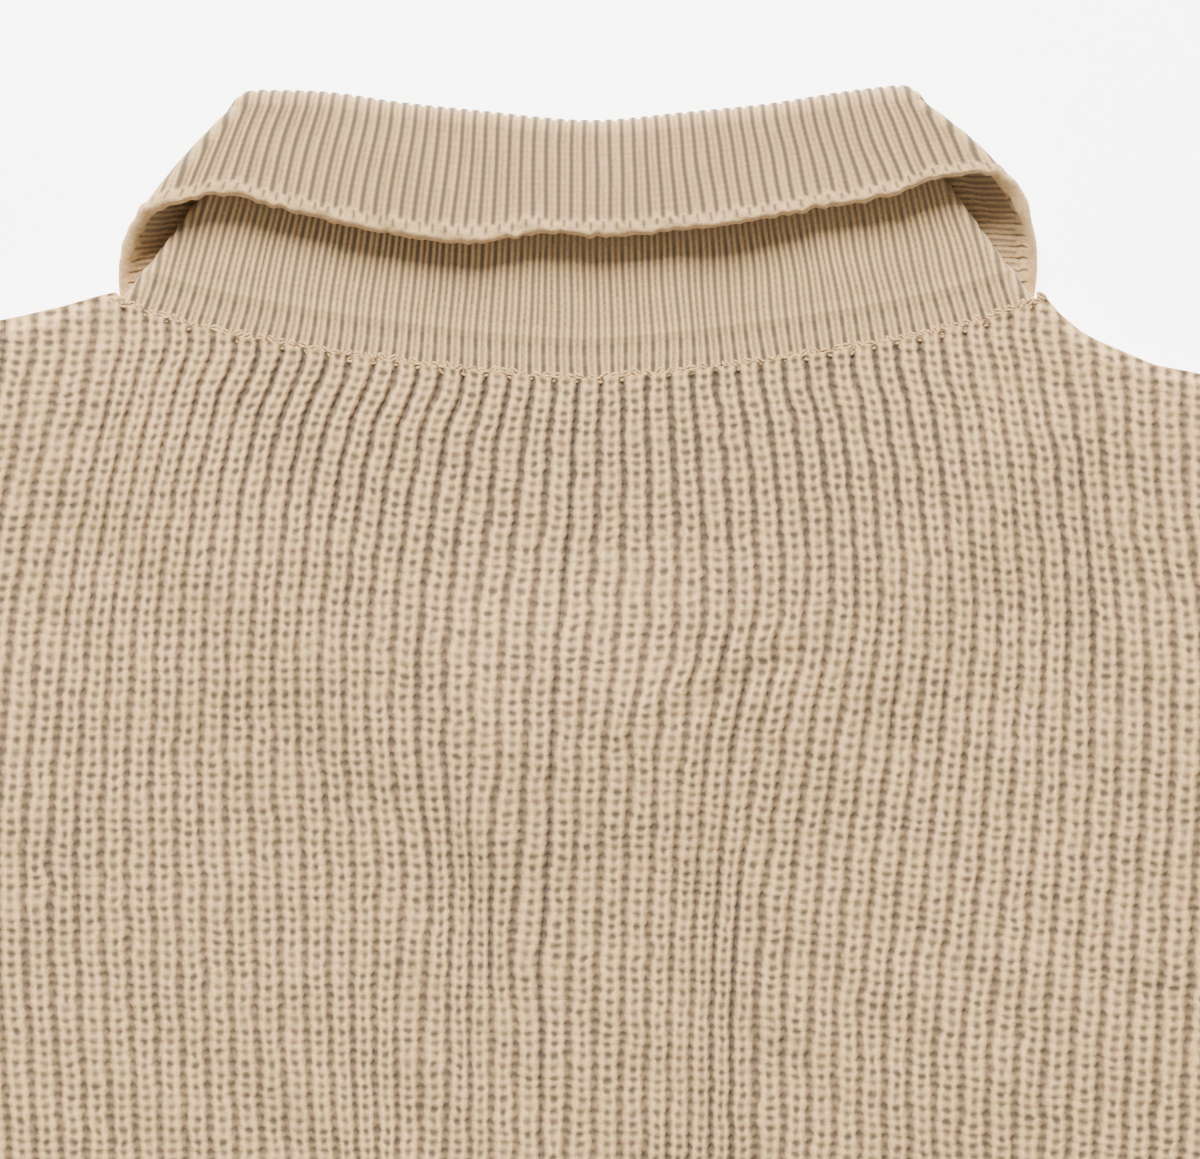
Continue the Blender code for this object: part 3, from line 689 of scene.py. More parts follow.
@dataclass(frozen=True)
class HalfCardiganStitch:
    """The body's stitch, in rib widths across and courses down.

    across is 0 on a rib's crest and 1 in the furrow between two. Each course has one dark line:
    a hole at the crest, from which it climbs as it goes out, faint over the legs of the stitch and
    plain again in the furrow, where it makes a peak over the little bar that lies there. The line
    and the furrows are cut into the relief and darkened with painted shade, and the legs are lit
    with a painted highlight.
    """

    climb: float = 0.22
    climb_power: float = 1.5
    furrow_depth: float = 0.85
    gathered_furrow: float = 0.22
    cut_depth: float = 0.20
    swell: float = 0.07
    furrow_start: float = 0.50
    # share across, painted brightness: painted highlight on the legs, painted shade in the furrow
    leg_light_and_shade: tuple = (
        (0.0, 0.76), (0.18, 0.84), (0.42, 1.05), (0.62, 0.88), (0.80, 0.57), (1.0, 0.44)
    )
    # share across, weight of the dark line, which is cut into the relief and painted as shade
    line_weight: tuple = (
        (0.0, 1.0), (0.13, 0.93), (0.26, 0.52), (0.38, 0.13), (0.56, 0.04), (0.72, 0.32),
        (0.88, 0.66), (1.0, 0.74),
    )
    # share across, half height of the dark line in courses
    line_height: tuple = (
        (0.0, 0.34), (0.18, 0.32), (0.34, 0.24), (0.48, 0.13), (0.62, 0.13), (0.78, 0.26),
        (1.0, 0.34),
    )

    def relief(self, rib: Array, course: Array, gather: Array) -> Array:
        """How far the surface lies below the crests, in millimetres, as a negative height."""
        across = np.abs(rib % 1.0 - 0.5) * 2
        line = 0.5 - self.climb * across**self.climb_power
        away = (course - line + 0.5) % 1.0 - 0.5
        weight = np.interp(across, *np.array(self.line_weight).T)
        height = np.interp(across, *np.array(self.line_height).T)
        cut = weight * np.exp(-((away / height) ** 2))
        furrow = smooth((across - self.furrow_start) / (1.0 - self.furrow_start))
        depth = self.furrow_depth + self.gathered_furrow * gather
        swell = self.swell * (1.0 - 2.0 * np.abs(away)) ** 2
        return -depth * furrow - self.cut_depth * cut - swell - 0.12 * across**2

    def finish(self, name: str) -> bpy.types.Material:
        """The stitch's material: mottled yarn, painted shade in its dark lines and furrows, painted
        highlight on the legs, fine bump.
        """
        made = FinishTree(name)
        rib, course = made.stitch_place()
        rib = rib + made.noise(1.9, 1.0) * 0.26 - 0.13
        course = course + made.noise(2.1, 1.0, (1.3, 1.0, 1.0)) * 0.3 - 0.15
        gather, shaped = made.mark("gather"), made.mark("shaped")
        across = (rib.math("FRACT") - 0.5).math("ABSOLUTE") * 2.0
        line = across.math("POWER", self.climb_power) * -self.climb + 0.5
        from_line = course - line
        away = ((from_line + 0.5).math("FRACT") - 0.5).math("ABSOLUTE")
        weight, height = across.table(self.line_weight), across.table(self.line_height)
        own = made.each_stitch(rib, from_line + 0.5)
        cut = away.bell(height) * weight
        furrow = across.ramp(0.62, 1.0)
        # painted shade in the holes, stronger at some stitches than at others
        hole_shade = cut * (own * 0.75 + 0.45)
        # painted highlight on the plump legs, painted shade towards the furrow and along the hole line
        legs = across.table(self.leg_light_and_shade) * (away.bell(0.19) * -0.07 + 1.0)
        # painted shade in the furrows where they gather, and a little over the whole gathered place
        closed = furrow * gather * -0.48 - gather * 0.06 + 1.0
        grain = made.noise(0.55, 3.0) * 0.5 + made.noise(14.0, 2.0) * 0.14 + 0.68
        tone_and_painted_light = (legs * closed - hole_shade * 0.62) * grain
        colour = YARN.lit(made, tone_and_painted_light)
        round_off = (away * -2.0 + 1.0).math("POWER", 2.0) * -self.swell
        deep_furrow = across.ramp(self.furrow_start, 1.0) * -0.35
        stitch_height = cut * -self.cut_depth + round_off + deep_furrow
        fibre = made.noise(0.32, 3.0, (1.0, 1.6, 1.0)) * 0.10
        YARN.settle(made)
        return made.finish(colour, stitch_height * (shaped * -0.55 + 1.0) + fibre)


@dataclass(frozen=True)
class CollarRibStitch:
    """The collar's 1x1 rib, in ribs across and courses along: plump crests, narrow furrows and a
    fine line of dots down the middle of each crest, deeper on the stand than on the fall."""

    furrow_depth: float = 0.62
    furrow_start: float = 0.52
    legs_depth: float = 0.24
    # share across, painted brightness on the fall and on the stand: painted highlight on the crests,
    # painted shade in the furrows
    fall_light_and_shade: tuple = (
        (0.0, 0.69), (0.2, 0.80), (0.42, 0.81), (0.62, 0.57), (0.80, 0.20), (1.0, 0.05)
    )
    stand_light_and_shade: tuple = (
        (0.0, 0.56), (0.2, 0.70), (0.45, 0.95), (0.65, 0.70), (0.85, 0.28), (1.0, 0.20)
    )
    rim_ticks: float = 0.9

    def relief(self, rib: Array, flat: Array, rim: Array) -> Array:
        """How far the surface lies below the crests, in millimetres, as a negative height."""
        across = np.abs(rib % 1.0 - 0.5) * 2
        furrow = smooth((across - self.furrow_start) / (1.0 - self.furrow_start))
        legs = np.exp(-((across / 0.22) ** 2))
        depth = self.furrow_depth * (1.0 - 0.25 * flat)
        return (-depth * furrow - self.legs_depth * flat * legs) * (1.0 - rim)

    def finish(self, name: str) -> bpy.types.Material:
        """The rib's material: mottled yarn, painted highlight on crests, painted shade in furrows, dots
        and ticks, fine bump.
        """
        made = FinishTree(name)
        rib, course = made.stitch_place()
        flat, rim, tick = made.mark("flat"), made.mark("rim"), made.mark("tick")
        across = (rib.math("FRACT") - 0.5).math("ABSOLUTE") * 2.0
        beat = ((course.math("FRACT") - 0.5).math("ABSOLUTE")).bell(0.24)
        ribbed = rim * -1.0 + 1.0
        furrow = across.ramp(0.56, 0.94) * ribbed
        middle = across.bell(0.17) * (beat * 0.45 + 0.55) * (flat * 0.62 + 0.28) * ribbed
        ticks = across.bell(0.22) * tick * self.rim_ticks
        # painted highlight on the crests and painted shade in the furrows, on the fall and on the stand
        plump, lean = across.table(self.fall_light_and_shade), across.table(self.stand_light_and_shade)
        # painted shade under the fall: the stand's ribs there are eased towards a flat mid brightness
        eased = made.mark("shade_under_fall") * 0.5
        lean = lean + (eased * 0.60 - lean * eased)
        lumpy = made.noise(1.2, 2.0) * 0.5 + 0.62
        ribs = (plump + (lean - plump) * flat) * ribbed + rim * lumpy * 0.94
        long_beat = ((course / 3.0 + 0.2).math("FRACT") - 0.5).math("ABSOLUTE").bell(0.26)
        by_seam = made.mark("dots")
        seam_marks = by_seam * across.ramp(0.45, 0.9) * long_beat * 0.25
        grain = made.noise(0.5, 3.0) * 0.60 + made.noise(12.0, 2.0) * 0.14 + 0.60
        # the dots, ticks and seam marks are painted shade, as small holes
        tone_and_painted_light = (ribs - middle * (by_seam * -0.18 + 0.20) - ticks * 0.55 - seam_marks) * grain
        colour = YARN.lit(made, tone_and_painted_light)
        height = middle * -0.22 + furrow * -0.10 + ticks * -0.3 + beat * ribbed * 0.03
        fibre = made.noise(0.28, 3.0, (1.0, 1.8, 1.0)) * 0.07
        YARN.settle(made)
        return made.finish(colour, height + fibre)


@dataclass(frozen=True)
class LinkingYarnFinish:
    """The seam's own yarn: the same cast, twisted."""

    def finish(self, name: str) -> bpy.types.Material:
        """A plain twisted yarn."""
        made = FinishTree(name)
        twist = made.noise(0.35, 3.0, (1.0, 2.4, 1.0))
        colour = YARN.lit(made, twist * 0.6 + made.noise(1.1, 2.0) * 1.0 - 0.02)
        YARN.settle(made)
        return made.finish(colour, twist * 0.3)


@dataclass(frozen=True)
class HornFinish:
    """Satin brown horn with darker streaks."""

    light: tuple = (0.135, 0.075, 0.038)
    dark: tuple = (0.042, 0.022, 0.012)

    def finish(self, name: str) -> bpy.types.Material:
        """Streaks from stretched noise under a satin gloss."""
        made = FinishTree(name)
        streak = made.noise(1.6, 4.0, (4.0, 1.0, 1.0))
        colour = made.blend(streak.ramp(0.35, 0.65), self.light, self.dark)
        made.set(roughness=0.38, specular_ior_level=0.5, coat_weight=0.15)
        return made.finish(colour, made.noise(0.4, 2.0) * 0.02)


@dataclass
class Finishes:
    """The cardigan's materials, made once."""

    body: bpy.types.Material
    collar: bpy.types.Material
    linking: bpy.types.Material
    horn: bpy.types.Material

    @classmethod
    def make(cls) -> "Finishes":
        """Makes every finish."""
        return cls(
            body=STITCH.finish("half_cardigan_knit"),
            collar=COLLAR_STITCH.finish("collar_rib_knit"),
            linking=LinkingYarnFinish().finish("linking_yarn"),
            horn=HornFinish().finish("brown_horn"),
        )


STITCH = HalfCardiganStitch()
COLLAR_STITCH = CollarRibStitch()


# ------------------------------------------------------------------ the back


@dataclass(frozen=True)
class Crease:
    """A soft crease that raises the cloth beside it and pushes the ribs over."""

    x0: float
    y0: float
    x1: float
    y1: float
    width: float
    height: float
    push: float

    def reach(self, x: Array, y: Array) -> tuple[Array, Array]:
        """How much of the crease a point feels, and its signed distance from it in widths."""
        along = np.array((self.x1 - self.x0, self.y1 - self.y0))
        length = float(np.hypot(*along))
        ahead = along / length
        share = ((x - self.x0) * ahead[0] + (y - self.y0) * ahead[1]) / length
        off = ((x - self.x0) * ahead[1] - (y - self.y0) * ahead[0]) / self.width
        ends = smooth((share + 0.15) / 0.35) * smooth((1.15 - share) / 0.35)
        return ends * np.exp(-(off**2)), off

    def lift(self, x: Array, y: Array) -> Array:
        """The ridge's height."""
        return self.height * self.reach(x, y)[0]

    def shift(self, x: Array, y: Array) -> Array:
        """How far the ribs are pushed across."""
        return self.push * self.reach(x, y)[0]


@dataclass(frozen=True)
class ShadedGathering:
    """A place where the furrows close up, deepen and get painted shade: a soft-ended upright strip."""

    x: float
    y_top: float
    y_bottom: float
    half_width: float
    amount: float
    lean: float = 0.0

    def at(self, x: Array, y: Array) -> Array:
        """How much the furrows gather there: deeper relief, and painted shade in them."""
        middle = self.x + self.lean * (self.y_top - y)
        across = np.exp(-(((x - middle) / self.half_width) ** 2))
        down = smooth((self.y_top + 6.0 - y) / 14.0) * smooth((y - self.y_bottom + 6.0) / 14.0)
        return self.amount * across * down


@dataclass(frozen=True)
class BackPanel:
    """The back: its ribs fan out of the gathered neck and run down to the hem.

    The part that is seen close up is a fine grid on each side of the centre furrow, and the rest
    is coarser, with the same stitch map.
    """

    columns_per_rib: int = 10
    rows_per_course: int = 5
    fine_ribs: tuple = (27, 51, 77)
    fine_courses: int = 73
    coarse_columns: int = 4
    side_rows: int = 46
    lower_rows: int = 118
    neck_pitch: float = 2.07
    body_pitch: float = 2.28
    settle_courses: float = 12.0
    straighten_courses: float = 45.0
    level_from: float = 54.0
    edge_drop: float = 1.2
    creases: tuple = (
        Crease(52.0, -48.0, 8.0, -74.0, 4.0, 0.6, -0.6),
        Crease(44.0, -57.0, 14.0, -73.0, 3.0, -0.8, 0.4),
        Crease(-20.0, -84.0, -10.0, -130.0, 7.0, 0.8, -1.6),
        Crease(-34.0, -96.0, -26.0, -160.0, 6.0, 0.7, 1.1),
        Crease(36.0, -96.0, 34.0, -170.0, 5.0, 0.9, -0.8),
        Crease(98.0, -8.0, 104.0, -50.0, 5.0, 0.9, 0.7),
        Crease(-60.0, -30.0, -84.0, -74.0, 12.0, 0.9, 0.6),
        Crease(62.0, -120.0, 84.0, -160.0, 14.0, 0.9, -0.6),
        Crease(-150.0, -60.0, -214.0, -150.0, 12.0, 2.4, 1.2),
        Crease(152.0, -70.0, 216.0, -160.0, 13.0, 2.1, -1.2),
        Crease(-180.0, -190.0, -262.0, -262.0, 11.0, 2.6, 1.0),
        Crease(176.0, -200.0, 258.0, -255.0, 12.0, 2.2, -1.0),
        Crease(-120.0, -240.0, -150.0, -420.0, 18.0, 1.8, 1.6),
        Crease(128.0, -260.0, 104.0, -470.0, 20.0, 1.6, -1.5),
        Crease(-30.0, -330.0, -70.0, -520.0, 16.0, 1.5, 1.3),
        Crease(60.0, -440.0, 90.0, -590.0, 14.0, 1.3, 1.2),
    )
    gatherings: tuple = (
        ShadedGathering(33.0, -98.0, -230.0, 5.0, 0.8, -0.01),
        ShadedGathering(-31.0, -48.0, -104.0, 6.0, 0.6),
        ShadedGathering(-14.0, -78.0, -126.0, 10.0, 0.55, -0.05),
        ShadedGathering(20.2, -64.0, -76.0, 2.4, 1.0, -0.2),
        ShadedGathering(32.0, -64.0, -78.0, 2.4, 1.0, -0.2),
        ShadedGathering(30.0, -50.0, -66.0, 13.0, 0.6),
        ShadedGathering(100.0, -8.0, -62.0, 7.0, 0.8, 0.12),
        ShadedGathering(-110.0, -60.0, -130.0, 9.0, 0.3),
        ShadedGathering(70.0, -60.0, -110.0, 12.0, 0.25),
    )
    # where the body hangs askew: across, then each height and how far the ribs stray there
    drift_across: tuple = (
        -215.0, -103.0, -78.0, -53.0, -28.0, -4.0, 21.0, 46.0, 71.0, 95.0, 114.0, 215.0
    )
    drift_down: tuple = (
        (-480.0, (0.0, 0.0, 0.0, 0.0, 0.0, 0.0, 0.0, 0.0, 0.0, 0.0, 0.0, 0.0)),
        (-300.0, (0.0, 1.6, 0.8, -0.2, -3.0, -4.0, -4.0, -5.5, -6.0, -6.5, -6.5, 0.0)),
        (-160.0, (0.0, 3.2, 1.4, -0.3, -6.0, -8.0, -8.0, -11.5, -12.0, -13.0, -13.5, 0.0)),
        (-126.0, (0.0, 0.8, -0.6, -2.4, -6.1, -7.0, -7.0, -11.3, -11.8, -12.3, -12.0, 0.0)),
        (-100.0, (0.0, -1.6, -2.6, -3.7, -5.6, -6.1, -6.0, -8.8, -8.8, -8.8, -8.7, 0.0)),
        (-75.0, (0.0, -3.6, -5.0, -5.5, -7.4, -5.4, -4.3, -4.6, -3.4, -4.0, -4.2, 0.0)),
        (-50.0, (0.0, -5.2, -6.8, -7.2, -7.3, -3.9, 0.0, 1.3, 1.7, 1.3, 0.0, 0.0)),
        (-26.0, (0.0, -4.2, -5.8, -6.2, -5.4, -1.3, 0.8, 2.1, 2.3, 2.0, 0.0, 0.0)),
        (10.0, (0.0, 0.0, 0.0, 0.0, 0.0, 0.0, 0.0, 0.0, 0.0, 0.0, 0.0, 0.0)),
    )
    sag_slope: float = 0.09
    sag_from: float = 22.0
    sag_soft: float = 18.0
    sag_to: float = 125.0
    wander: Unevenness = Unevenness(seed=11, shortest=16.0, longest=70.0)
    wobble: Unevenness = Unevenness(seed=12, shortest=7.0, longest=20.0)
    sway: Unevenness = Unevenness(seed=13, shortest=60.0, longest=220.0)

    def depth(self, course: Array) -> Array:
        """How far down a course lies: its number times the pitch, denser by the neck."""
        short = (self.body_pitch - self.neck_pitch) * self.settle_courses
        return self.body_pitch * course - short * (1.0 - np.exp(-course / self.settle_courses))

    def at_hem(self, rib: Array) -> Array:
        """Where a rib would lie at the full chest width."""
        return -LAY.chest_half + rib * LAY.rib_pitch

    def rib_x(self, rib: Array, y: Array) -> Array:
        """Where a rib lies at a height: drawn in at the hem, and gathered towards the neck."""
        x = self.at_hem(rib)
        peaks = (0.0, LAY.rib_fan_at, LAY.shoulder_half)
        bulge = np.interp(np.abs(x), peaks, (0.0, 1.0, 0.0))
        below = LAY.neck_corner_rise + LAY.neck_side_rise - y
        gathered = smooth(1.0 - below / LAY.rib_fan_length)
        return x * LAY.draw_in(y) - np.sign(x) * LAY.rib_fan * bulge * gathered

    def top(self, rib: Array) -> Array:
        """The height of the top edge where each rib meets it, found by repeated tries."""
        y = np.zeros_like(rib)
        for _ in range(14):
            x = self.rib_x(rib, y)
            y = LAY.top_edge(x, LAY.neck_seam(x) - LAY.seam_gap)
        return y

    def drift(self, x: Array, y: Array) -> Array:
        """How far the ribs stray across at a place: the table's rows, joined by cubics."""
        heights = np.array([height for height, _ in self.drift_down])
        rows = [through(tuple(zip(self.drift_across, row)), x) for _, row in self.drift_down]
        rows = np.stack(rows)
        slopes = np.gradient(rows, heights, axis=0)
        y = np.clip(y, heights[0], heights[-1])
        i = np.clip(np.searchsorted(heights, y) - 1, 0, len(heights) - 2)
        below, above, slope_below, slope_above = (
            np.take_along_axis(stack, at[None], 0)[0]
            for stack, at in ((rows, i), (rows, i + 1), (slopes, i), (slopes, i + 1))
        )
        width = heights[i + 1] - heights[i]
        t = (y - heights[i]) / width
        return cubic(t, width, (below, above), (slope_below, slope_above))

    def sag(self, x: Array, y: Array) -> Array:
        """How far the courses sag to the right, where the cloth is turned a little."""
        past = np.minimum(x, self.sag_to) - self.sag_from
        eased = self.sag_soft * np.logaddexp(0.0, past / self.sag_soft)
        run = smooth((y + 560.0) / 380.0)
        return self.sag_slope * eased * run

    def course_at(self, x: Array, y: Array) -> Array:
        """The course at a place.

        Courses follow the neck seam under the collar, run level under the shoulders, and
        straighten on the way down. The height of a course is turned round by repeated tries.
        """
        courses = np.linspace(-12.0, 340.0, 6000)
        heights = self.depth(np.maximum(courses, 0.0)) + self.neck_pitch * np.minimum(courses, 0.0)
        followed = LAY.neck_seam(np.minimum(np.abs(x), self.level_from))
        course = np.interp(-y, heights, courses)
        for _ in range(14):
            follow = 1.0 - smooth(course / self.straighten_courses)
            course = np.interp(followed * follow - y, heights, courses)
        return course - self.sag(x, y) / self.body_pitch

    def gather(self, x: Array, y: Array) -> Array:
        """How closed the furrows are, which deepens them and paints shade into them: by the neck, and in
        the named places.
        """
        below = LAY.neck_seam(x) - y
        neck = 1.05 * smooth((64.0 - below) / 48.0) * smooth((90.0 - np.abs(x)) / 28.0)
        total = neck + sum(place_.at(x, y) for place_ in self.gatherings)
        return np.clip(total + 0.10 * self.wander.at(x, y), 0.0, 1.2)

    def surface(self, rib: Array, y: Array, shaped: float) -> dict:
        """The panel's outer skin.

        The ribs are moved by the creases and a slow sway, the skin lies a wall above what is under
        it, and the stitch's relief is cut down into it.

        Args:
            rib: Rows by columns, the rib of each point.
            y: Its height up the panel.
            shaped: 1 where the mesh is fine enough to hold the stitches, 0 where it isn't.

        Returns:
            The arguments of Wall.grid, and the inner skin's points under "under".
        """
        home = self.rib_x(rib, y)
        inside = smooth((LAY.side_x(y) - 6.0 - np.abs(self.at_hem(rib))) / 30.0)
        from_top = smooth((LAY.neck_seam(home) - y) / 14.0)
        x = home + self.drift(home, y) * inside * from_top
        pushed = sum(crease.shift(x, y) for crease in self.creases)
        moved = x + (pushed + 0.7 * self.sway.at(x, y)) * inside * from_top
        lifted = sum(crease.lift(x, y) for crease in self.creases) * inside
        soft = 0.35 * (1.0 + self.wander.at(x + 300.0, y)) * inside * from_top
        under = LAY.wall + LAY.seam_gap + LAY.back_lift(x, y) + LAY.band_ridge(x, y)
        under = under + lifted + np.maximum(soft, 0.0)
        # how much the furrows gather: deeper relief below, and painted shade in the finish
        gather = self.gather(x, y)
        rib = rib + 0.035 * self.wobble.at(x, y) * inside
        course = self.course_at(x, y) + 0.16 * self.wobble.at(x + 500.0, y) * from_top
        relief = STITCH.relief(rib, course, gather)
        coarse_relief = -0.9 * smooth((np.abs(rib % 1.0 - 0.5) * 2 - 0.4) / 0.6)
        below_top = LAY.top_edge(x, LAY.neck_seam(x)) - y
        relief = (relief if shaped else coarse_relief) * (0.25 + 0.75 * smooth(below_top / 2.2))
        gather = gather * smooth(below_top / 2.0)
        from_side = LAY.chest_half - np.abs(self.at_hem(rib))
        drop = self.edge_drop * (1.0 - smooth(from_side / 5.0))
        drop = drop + self.edge_drop * (1.0 - smooth((y + LAY.body_length) / 3.0))
        on_shoulder = smooth((np.abs(x) - LAY.neck_half + 4.0) / 6.0)
        drop = drop + 1.5 * on_shoulder * (1.0 - smooth(below_top / 3.2))
        over = under + LAY.wall + relief - drop
        points = np.stack((moved, y, over), -1)
        return {
            "points": points,
            "stitch_at": np.stack((rib, course), -1),
            "gather": gather,
            "shaped": np.full(x.shape, shaped),
            "under": np.stack((moved, y, under), -1),
        }

    def wall(self, skin: dict, every: tuple) -> tuple[Wall, Array]:
        """A wall of an outer skin and a plain inner one that keeps every so many points."""
        wall = Wall()
        under = skin.pop("under")
        outer = wall.grid(**skin)
        rows = np.unique(np.append(np.arange(0, under.shape[0], every[0]), under.shape[0] - 1))
        columns = np.unique(np.append(np.arange(0, under.shape[1], every[1]), under.shape[1] - 1))
        pick = np.ix_(rows, columns)
        plain = np.zeros((len(rows), len(columns)))
        inner = wall.grid(
            under[pick], skin["stitch_at"][pick], gather=plain, shaped=plain
        )
        wall.close(outer, inner)
        return wall, skin["points"]

    def fine_half(self, first_rib: int, last_rib: int) -> tuple[Wall, Array]:
        """The close-up half: rows lie on the courses, which follow the neck and then straighten."""
        rib = np.linspace(first_rib, last_rib, (last_rib - first_rib) * self.columns_per_rib + 1)
        course = np.linspace(0.0, self.fine_courses, self.fine_courses * self.rows_per_course + 1)
        top = self.top(rib)
        follow = 1.0 - smooth(course / self.straighten_courses)
        y = -self.depth(course)[:, None] + top[None, :] * follow[:, None]
        skin = self.surface(np.broadcast_to(rib, y.shape), y, 1.0)
        return self.wall(skin, (self.rows_per_course * 4, self.columns_per_rib * 2))

    def side_strip(self, side: int) -> tuple[Wall, Array]:
        """The panel between the fine half and the armhole, down to the fine half's foot."""
        foot = -float(self.depth(np.array(float(self.fine_courses))))
        border = self.fine_ribs[0] if side < 0 else self.fine_ribs[2]
        edge = (LAY.chest_half + side * LAY.shoulder_half) / LAY.rib_pitch
        step = side / self.coarse_columns
        rib = np.arange(border, edge - side * 0.1, step)
        rib = np.append(rib, edge)
        top = self.top(rib[:-1])
        top = np.append(top, float(LAY.shoulder(np.array(side * LAY.shoulder_half))))
        share = np.linspace(0.0, 1.0, self.side_rows)
        y = top + (foot - top) * share[:, None]
        lean = LAY.armhole_lean * (top[-1] - y[:, -1]) / (top[-1] - LAY.armhole_straight_y)
        grid_rib = np.broadcast_to(rib, y.shape).copy()
        grid_rib[:, -1] = edge + side * lean / LAY.rib_pitch
        if side < 0:
            grid_rib, y = grid_rib[:, ::-1], y[:, ::-1]
        return self.wall(self.surface(grid_rib, y, 0.0), (6, 12))

    def lower_panel(self) -> tuple[Wall, Array]:
        """The whole width below the fine half, with the armholes' scoops, down to the hem."""
        foot = float(self.depth(np.array(float(self.fine_courses))))
        rib = np.linspace(0.0, LAY.body_ribs, LAY.body_ribs * self.coarse_columns + 1)
        x = self.at_hem(rib)
        away = np.abs(x) > LAY.shoulder_half
        top = np.where(away, np.minimum(LAY.armhole_y(x), -foot), -foot)
        share = np.linspace(0.0, 1.0, self.lower_rows)
        y = top + (-LAY.body_length - top) * share[:, None]
        return self.wall(self.surface(np.broadcast_to(rib, y.shape), y, 0.0), (8, 12))

    def build(self, finishes: Finishes) -> None:
        """Makes the panel's pieces."""
        left, middle, right = self.fine_ribs
        made = {
            "back_yoke_left": self.fine_half(left, middle),
            "back_yoke_right": self.fine_half(middle, right),
            "back_side_left": self.side_strip(-1),
            "back_side_right": self.side_strip(1),
            "back_lower": self.lower_panel(),
        }
        for name, (wall, points) in made.items():
            piece = wall.piece(name, finishes.body)
            dress(piece, "back", flat_cut(points))


# ------------------------------------------------------------------ the collar


